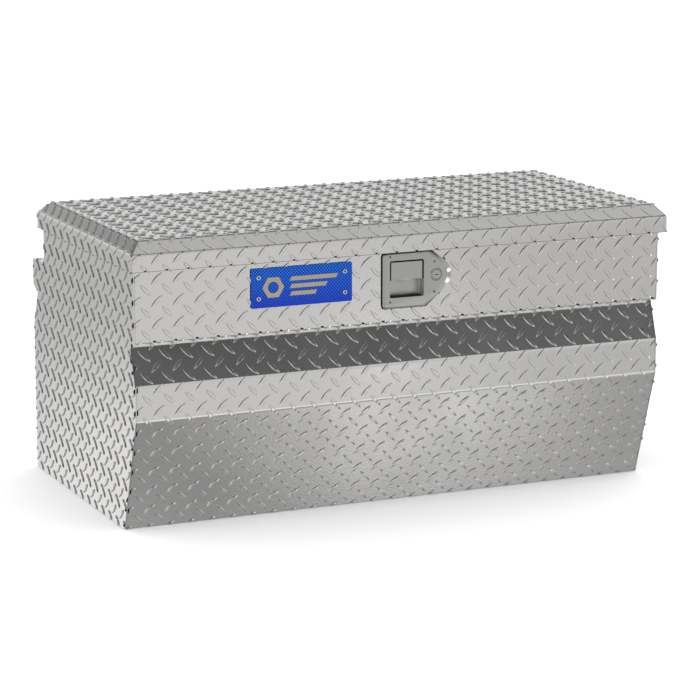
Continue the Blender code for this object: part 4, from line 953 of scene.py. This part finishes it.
# %% [markdown]
# ## The badge's motif
# The badge carries a plain tool-shop motif: a hexagon nut beside three bars of falling length. The nut
# and the bars are thin raised prints, so their edges catch the light.


# %% Print the badge
def print_piece(name, outlines, front_y, rise):
    """A thin raised print on the badge. Outlines after the first are holes."""
    curve = bpy.data.curves.new(name, "CURVE")
    curve.dimensions = "2D"
    curve.fill_mode = "BOTH"
    curve.extrude = rise / 2
    for outline in outlines:
        spline = curve.splines.new("POLY")
        spline.points.add(len(outline) - 1)
        for point, (x, z) in zip(spline.points, outline):
            point.co = (x, z, 0, 1)
        spline.use_cyclic_u = True
    made = bpy.data.objects.new(name, curve)
    made.rotation_euler = (math.pi / 2, 0, 0)
    made.location.y = front_y - rise / 2
    bpy.context.scene.collection.objects.link(made)
    return made


badge_low, badge_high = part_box("badge_plate")
badge_mid = (badge_low + badge_high) / 2
PRINT_RISE = 0.0003
nut_x = badge_mid.x - 1.9 * INCH
NUT_RADIUS, NUT_BORE = 0.72 * INCH, 0.36 * INCH
hexagon = []
for i in range(6):
    turn = math.radians(60 * i)
    hexagon.append((nut_x + NUT_RADIUS * math.cos(turn), badge_mid.z + NUT_RADIUS * math.sin(turn)))
bore = round_hole(nut_x, badge_mid.z, NUT_BORE)
prints = [print_piece("badge_nut", [hexagon, bore], badge_low.y, PRINT_RISE)]
BAR_STEP = 0.46
for i, reach in enumerate((3.1, 2.4, 1.7)):
    bar_x, bar_half = badge_mid.x - 0.75 * INCH, 0.13 * INCH
    bar_z = badge_mid.z + (BAR_STEP - BAR_STEP * i) * INCH
    slant = 0.5 * bar_half
    corners = [(bar_x - slant, bar_z - bar_half), (bar_x + reach * INCH - slant, bar_z - bar_half),
               (bar_x + reach * INCH + slant, bar_z + bar_half), (bar_x + slant, bar_z + bar_half)]
    prints.append(print_piece(f"badge_bar_{i + 1}", [corners], badge_low.y, PRINT_RISE))
for piece in prints:
    piece.data.materials.append(CREAM)
    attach(piece, "tub")
print(f"{len(prints)} badge prints")

# %% [markdown]
# ## Studio
# Bright metal looks like what surrounds it, so the sky is part of the finish. For reflections it is a
# pale band near the horizon, dark above it, with a few soft lamps. For everything else it is plain white,
# which gives the soft even light of a light tent. The pale floor is left out of reflections, so the
# metal's lower faces mirror the tent.


# %% Sky
def direction(azimuth, elevation):
    """A unit direction. Azimuth 0 is +Y and 90 is +X, in degrees."""
    a, e = math.radians(azimuth), math.radians(elevation)
    return (math.sin(a) * math.cos(e), math.cos(a) * math.cos(e), math.sin(e))


SKY_BANDS = [  # elevation, tone
    (-90, 0.50), (-62, 0.44), (-52, 0.28), (-38, 0.26), (-28, 1.00), (-22, 0.95), (-16, 0.55),
    (-10, 0.55), (2, 0.66), (11, 0.74), (15.5, 0.46), (19, 0.15), (25, 0.08), (38, 0.07),
    (46, 0.30), (66, 0.24), (90, 0.18),
]
LAMPS = [  # azimuth, elevation, radius, strength
    (154.8, -12.1, 1.0, 0.40),
    (162.0, -11.0, 6.0, 0.14),
    (145.4, -43.5, 2.8, 0.62),
    (152.0, -52.0, 3.0, 0.20),
    (136.0, -40.0, 5.0, 0.10),
    (119.5, 61.4, 12.0, 0.30),
    (138.5, -7.0, 1.4, 2.0),
    (139.0, -17.0, 2.0, 2.0),
    (142.0, -24.0, 1.6, -0.7),
    (-19.0, -17.0, 4.0, 0.42),
    (-15.0, 23.0, 6.0, 0.07),
    (64.0, 18.0, 14.0, 0.55),
]


def build_sky():
    world = bpy.data.worlds.new("studio")
    bpy.context.scene.world = world
    world.use_nodes = True
    nodes, links = world.node_tree.nodes, world.node_tree.links
    nodes.clear()
    place = nodes.new("ShaderNodeTexCoord")
    axes = nodes.new("ShaderNodeSeparateXYZ")
    links.new(place.outputs["Generated"], axes.inputs[0])
    height = nodes.new("ShaderNodeMapRange")
    height.inputs["From Min"].default_value = -1.0
    links.new(axes.outputs["Z"], height.inputs["Value"])
    bands = nodes.new("ShaderNodeValToRGB")
    ramp = bands.color_ramp
    for i, (elevation, tone) in enumerate(SKY_BANDS):
        spot = (math.sin(math.radians(elevation)) + 1) / 2
        stop = ramp.elements[i] if i < 2 else ramp.elements.new(spot)
        stop.position = spot
        stop.color = (tone, tone, tone, 1)
    links.new(height.outputs[0], bands.inputs["Fac"])
    total = bands.outputs["Color"]
    for azimuth, elevation, radius, strength in LAMPS:
        total = add_lamp(nodes, links, place, total, direction(azimuth, elevation), radius, strength)
    rays = nodes.new("ShaderNodeLightPath")
    mirror = nodes.new("ShaderNodeBackground")
    links.new(total, mirror.inputs["Color"])
    tent = nodes.new("ShaderNodeBackground")
    tent.inputs["Color"].default_value = (1.0, 1.0, 1.0, 1)
    tent.inputs["Strength"].default_value = 1.5
    choose = nodes.new("ShaderNodeMixShader")
    links.new(rays.outputs["Is Glossy Ray"], choose.inputs["Fac"])
    links.new(tent.outputs[0], choose.inputs[1])
    links.new(mirror.outputs[0], choose.inputs[2])
    output = nodes.new("ShaderNodeOutputWorld")
    links.new(choose.outputs[0], output.inputs["Surface"])


def add_lamp(nodes, links, place, total, aim, radius, strength):
    """Adds a soft round glow about a direction to the sky so far."""
    toward = nodes.new("ShaderNodeVectorMath")
    toward.operation = "DOT_PRODUCT"
    toward.inputs[1].default_value = aim
    links.new(place.outputs["Generated"], toward.inputs[0])
    glow = nodes.new("ShaderNodeMapRange")
    glow.interpolation_type = "SMOOTHSTEP"
    glow.inputs["From Min"].default_value = math.cos(math.radians(radius * 1.6))
    glow.inputs["From Max"].default_value = math.cos(math.radians(radius * 0.2))
    glow.inputs["To Max"].default_value = strength
    links.new(toward.outputs["Value"], glow.inputs["Value"])
    added = nodes.new("ShaderNodeVectorMath")
    added.operation = "ADD"
    links.new(total, added.inputs[0])
    links.new(glow.outputs[0], added.inputs[1])
    return added.outputs[0]


build_sky()
print(f"sky with {len(SKY_BANDS)} bands and {len(LAMPS)} lamps")

# %% Floor and camera
floor_mesh = bpy.data.meshes.new("floor")
FLOOR_HALF = 60.0
floor_corners = [(x * FLOOR_HALF, y * FLOOR_HALF, 0) for x, y in ((-1, -1), (1, -1), (1, 1), (-1, 1))]
floor_mesh.from_pydata(floor_corners, [], [(0, 1, 2, 3)])
floor = bpy.data.objects.new("floor", floor_mesh)
bpy.context.scene.collection.objects.link(floor)
floor.location.z = cad_low.z - 0.0012
floor.visible_glossy = False
paper = finish("floor_paper", (0.93, 0.93, 0.93), 0.0, 0.9)
floor_mesh.materials.append(paper)

camera = bpy.data.objects.new("camera", bpy.data.cameras.new("camera"))
bpy.context.scene.collection.objects.link(camera)
camera.location = (-1.8632, -4.2210, 1.1846)
camera.rotation_euler = (math.radians(78.09), 0, math.radians(-23.94))
camera.data.lens = 145.06
camera.data.sensor_width = 36.0
bpy.context.scene.camera = camera
bpy.context.scene.view_settings.view_transform = "Standard"
print("floor and camera")

# %% [markdown]
# ## Finish

# %% Finish
import json
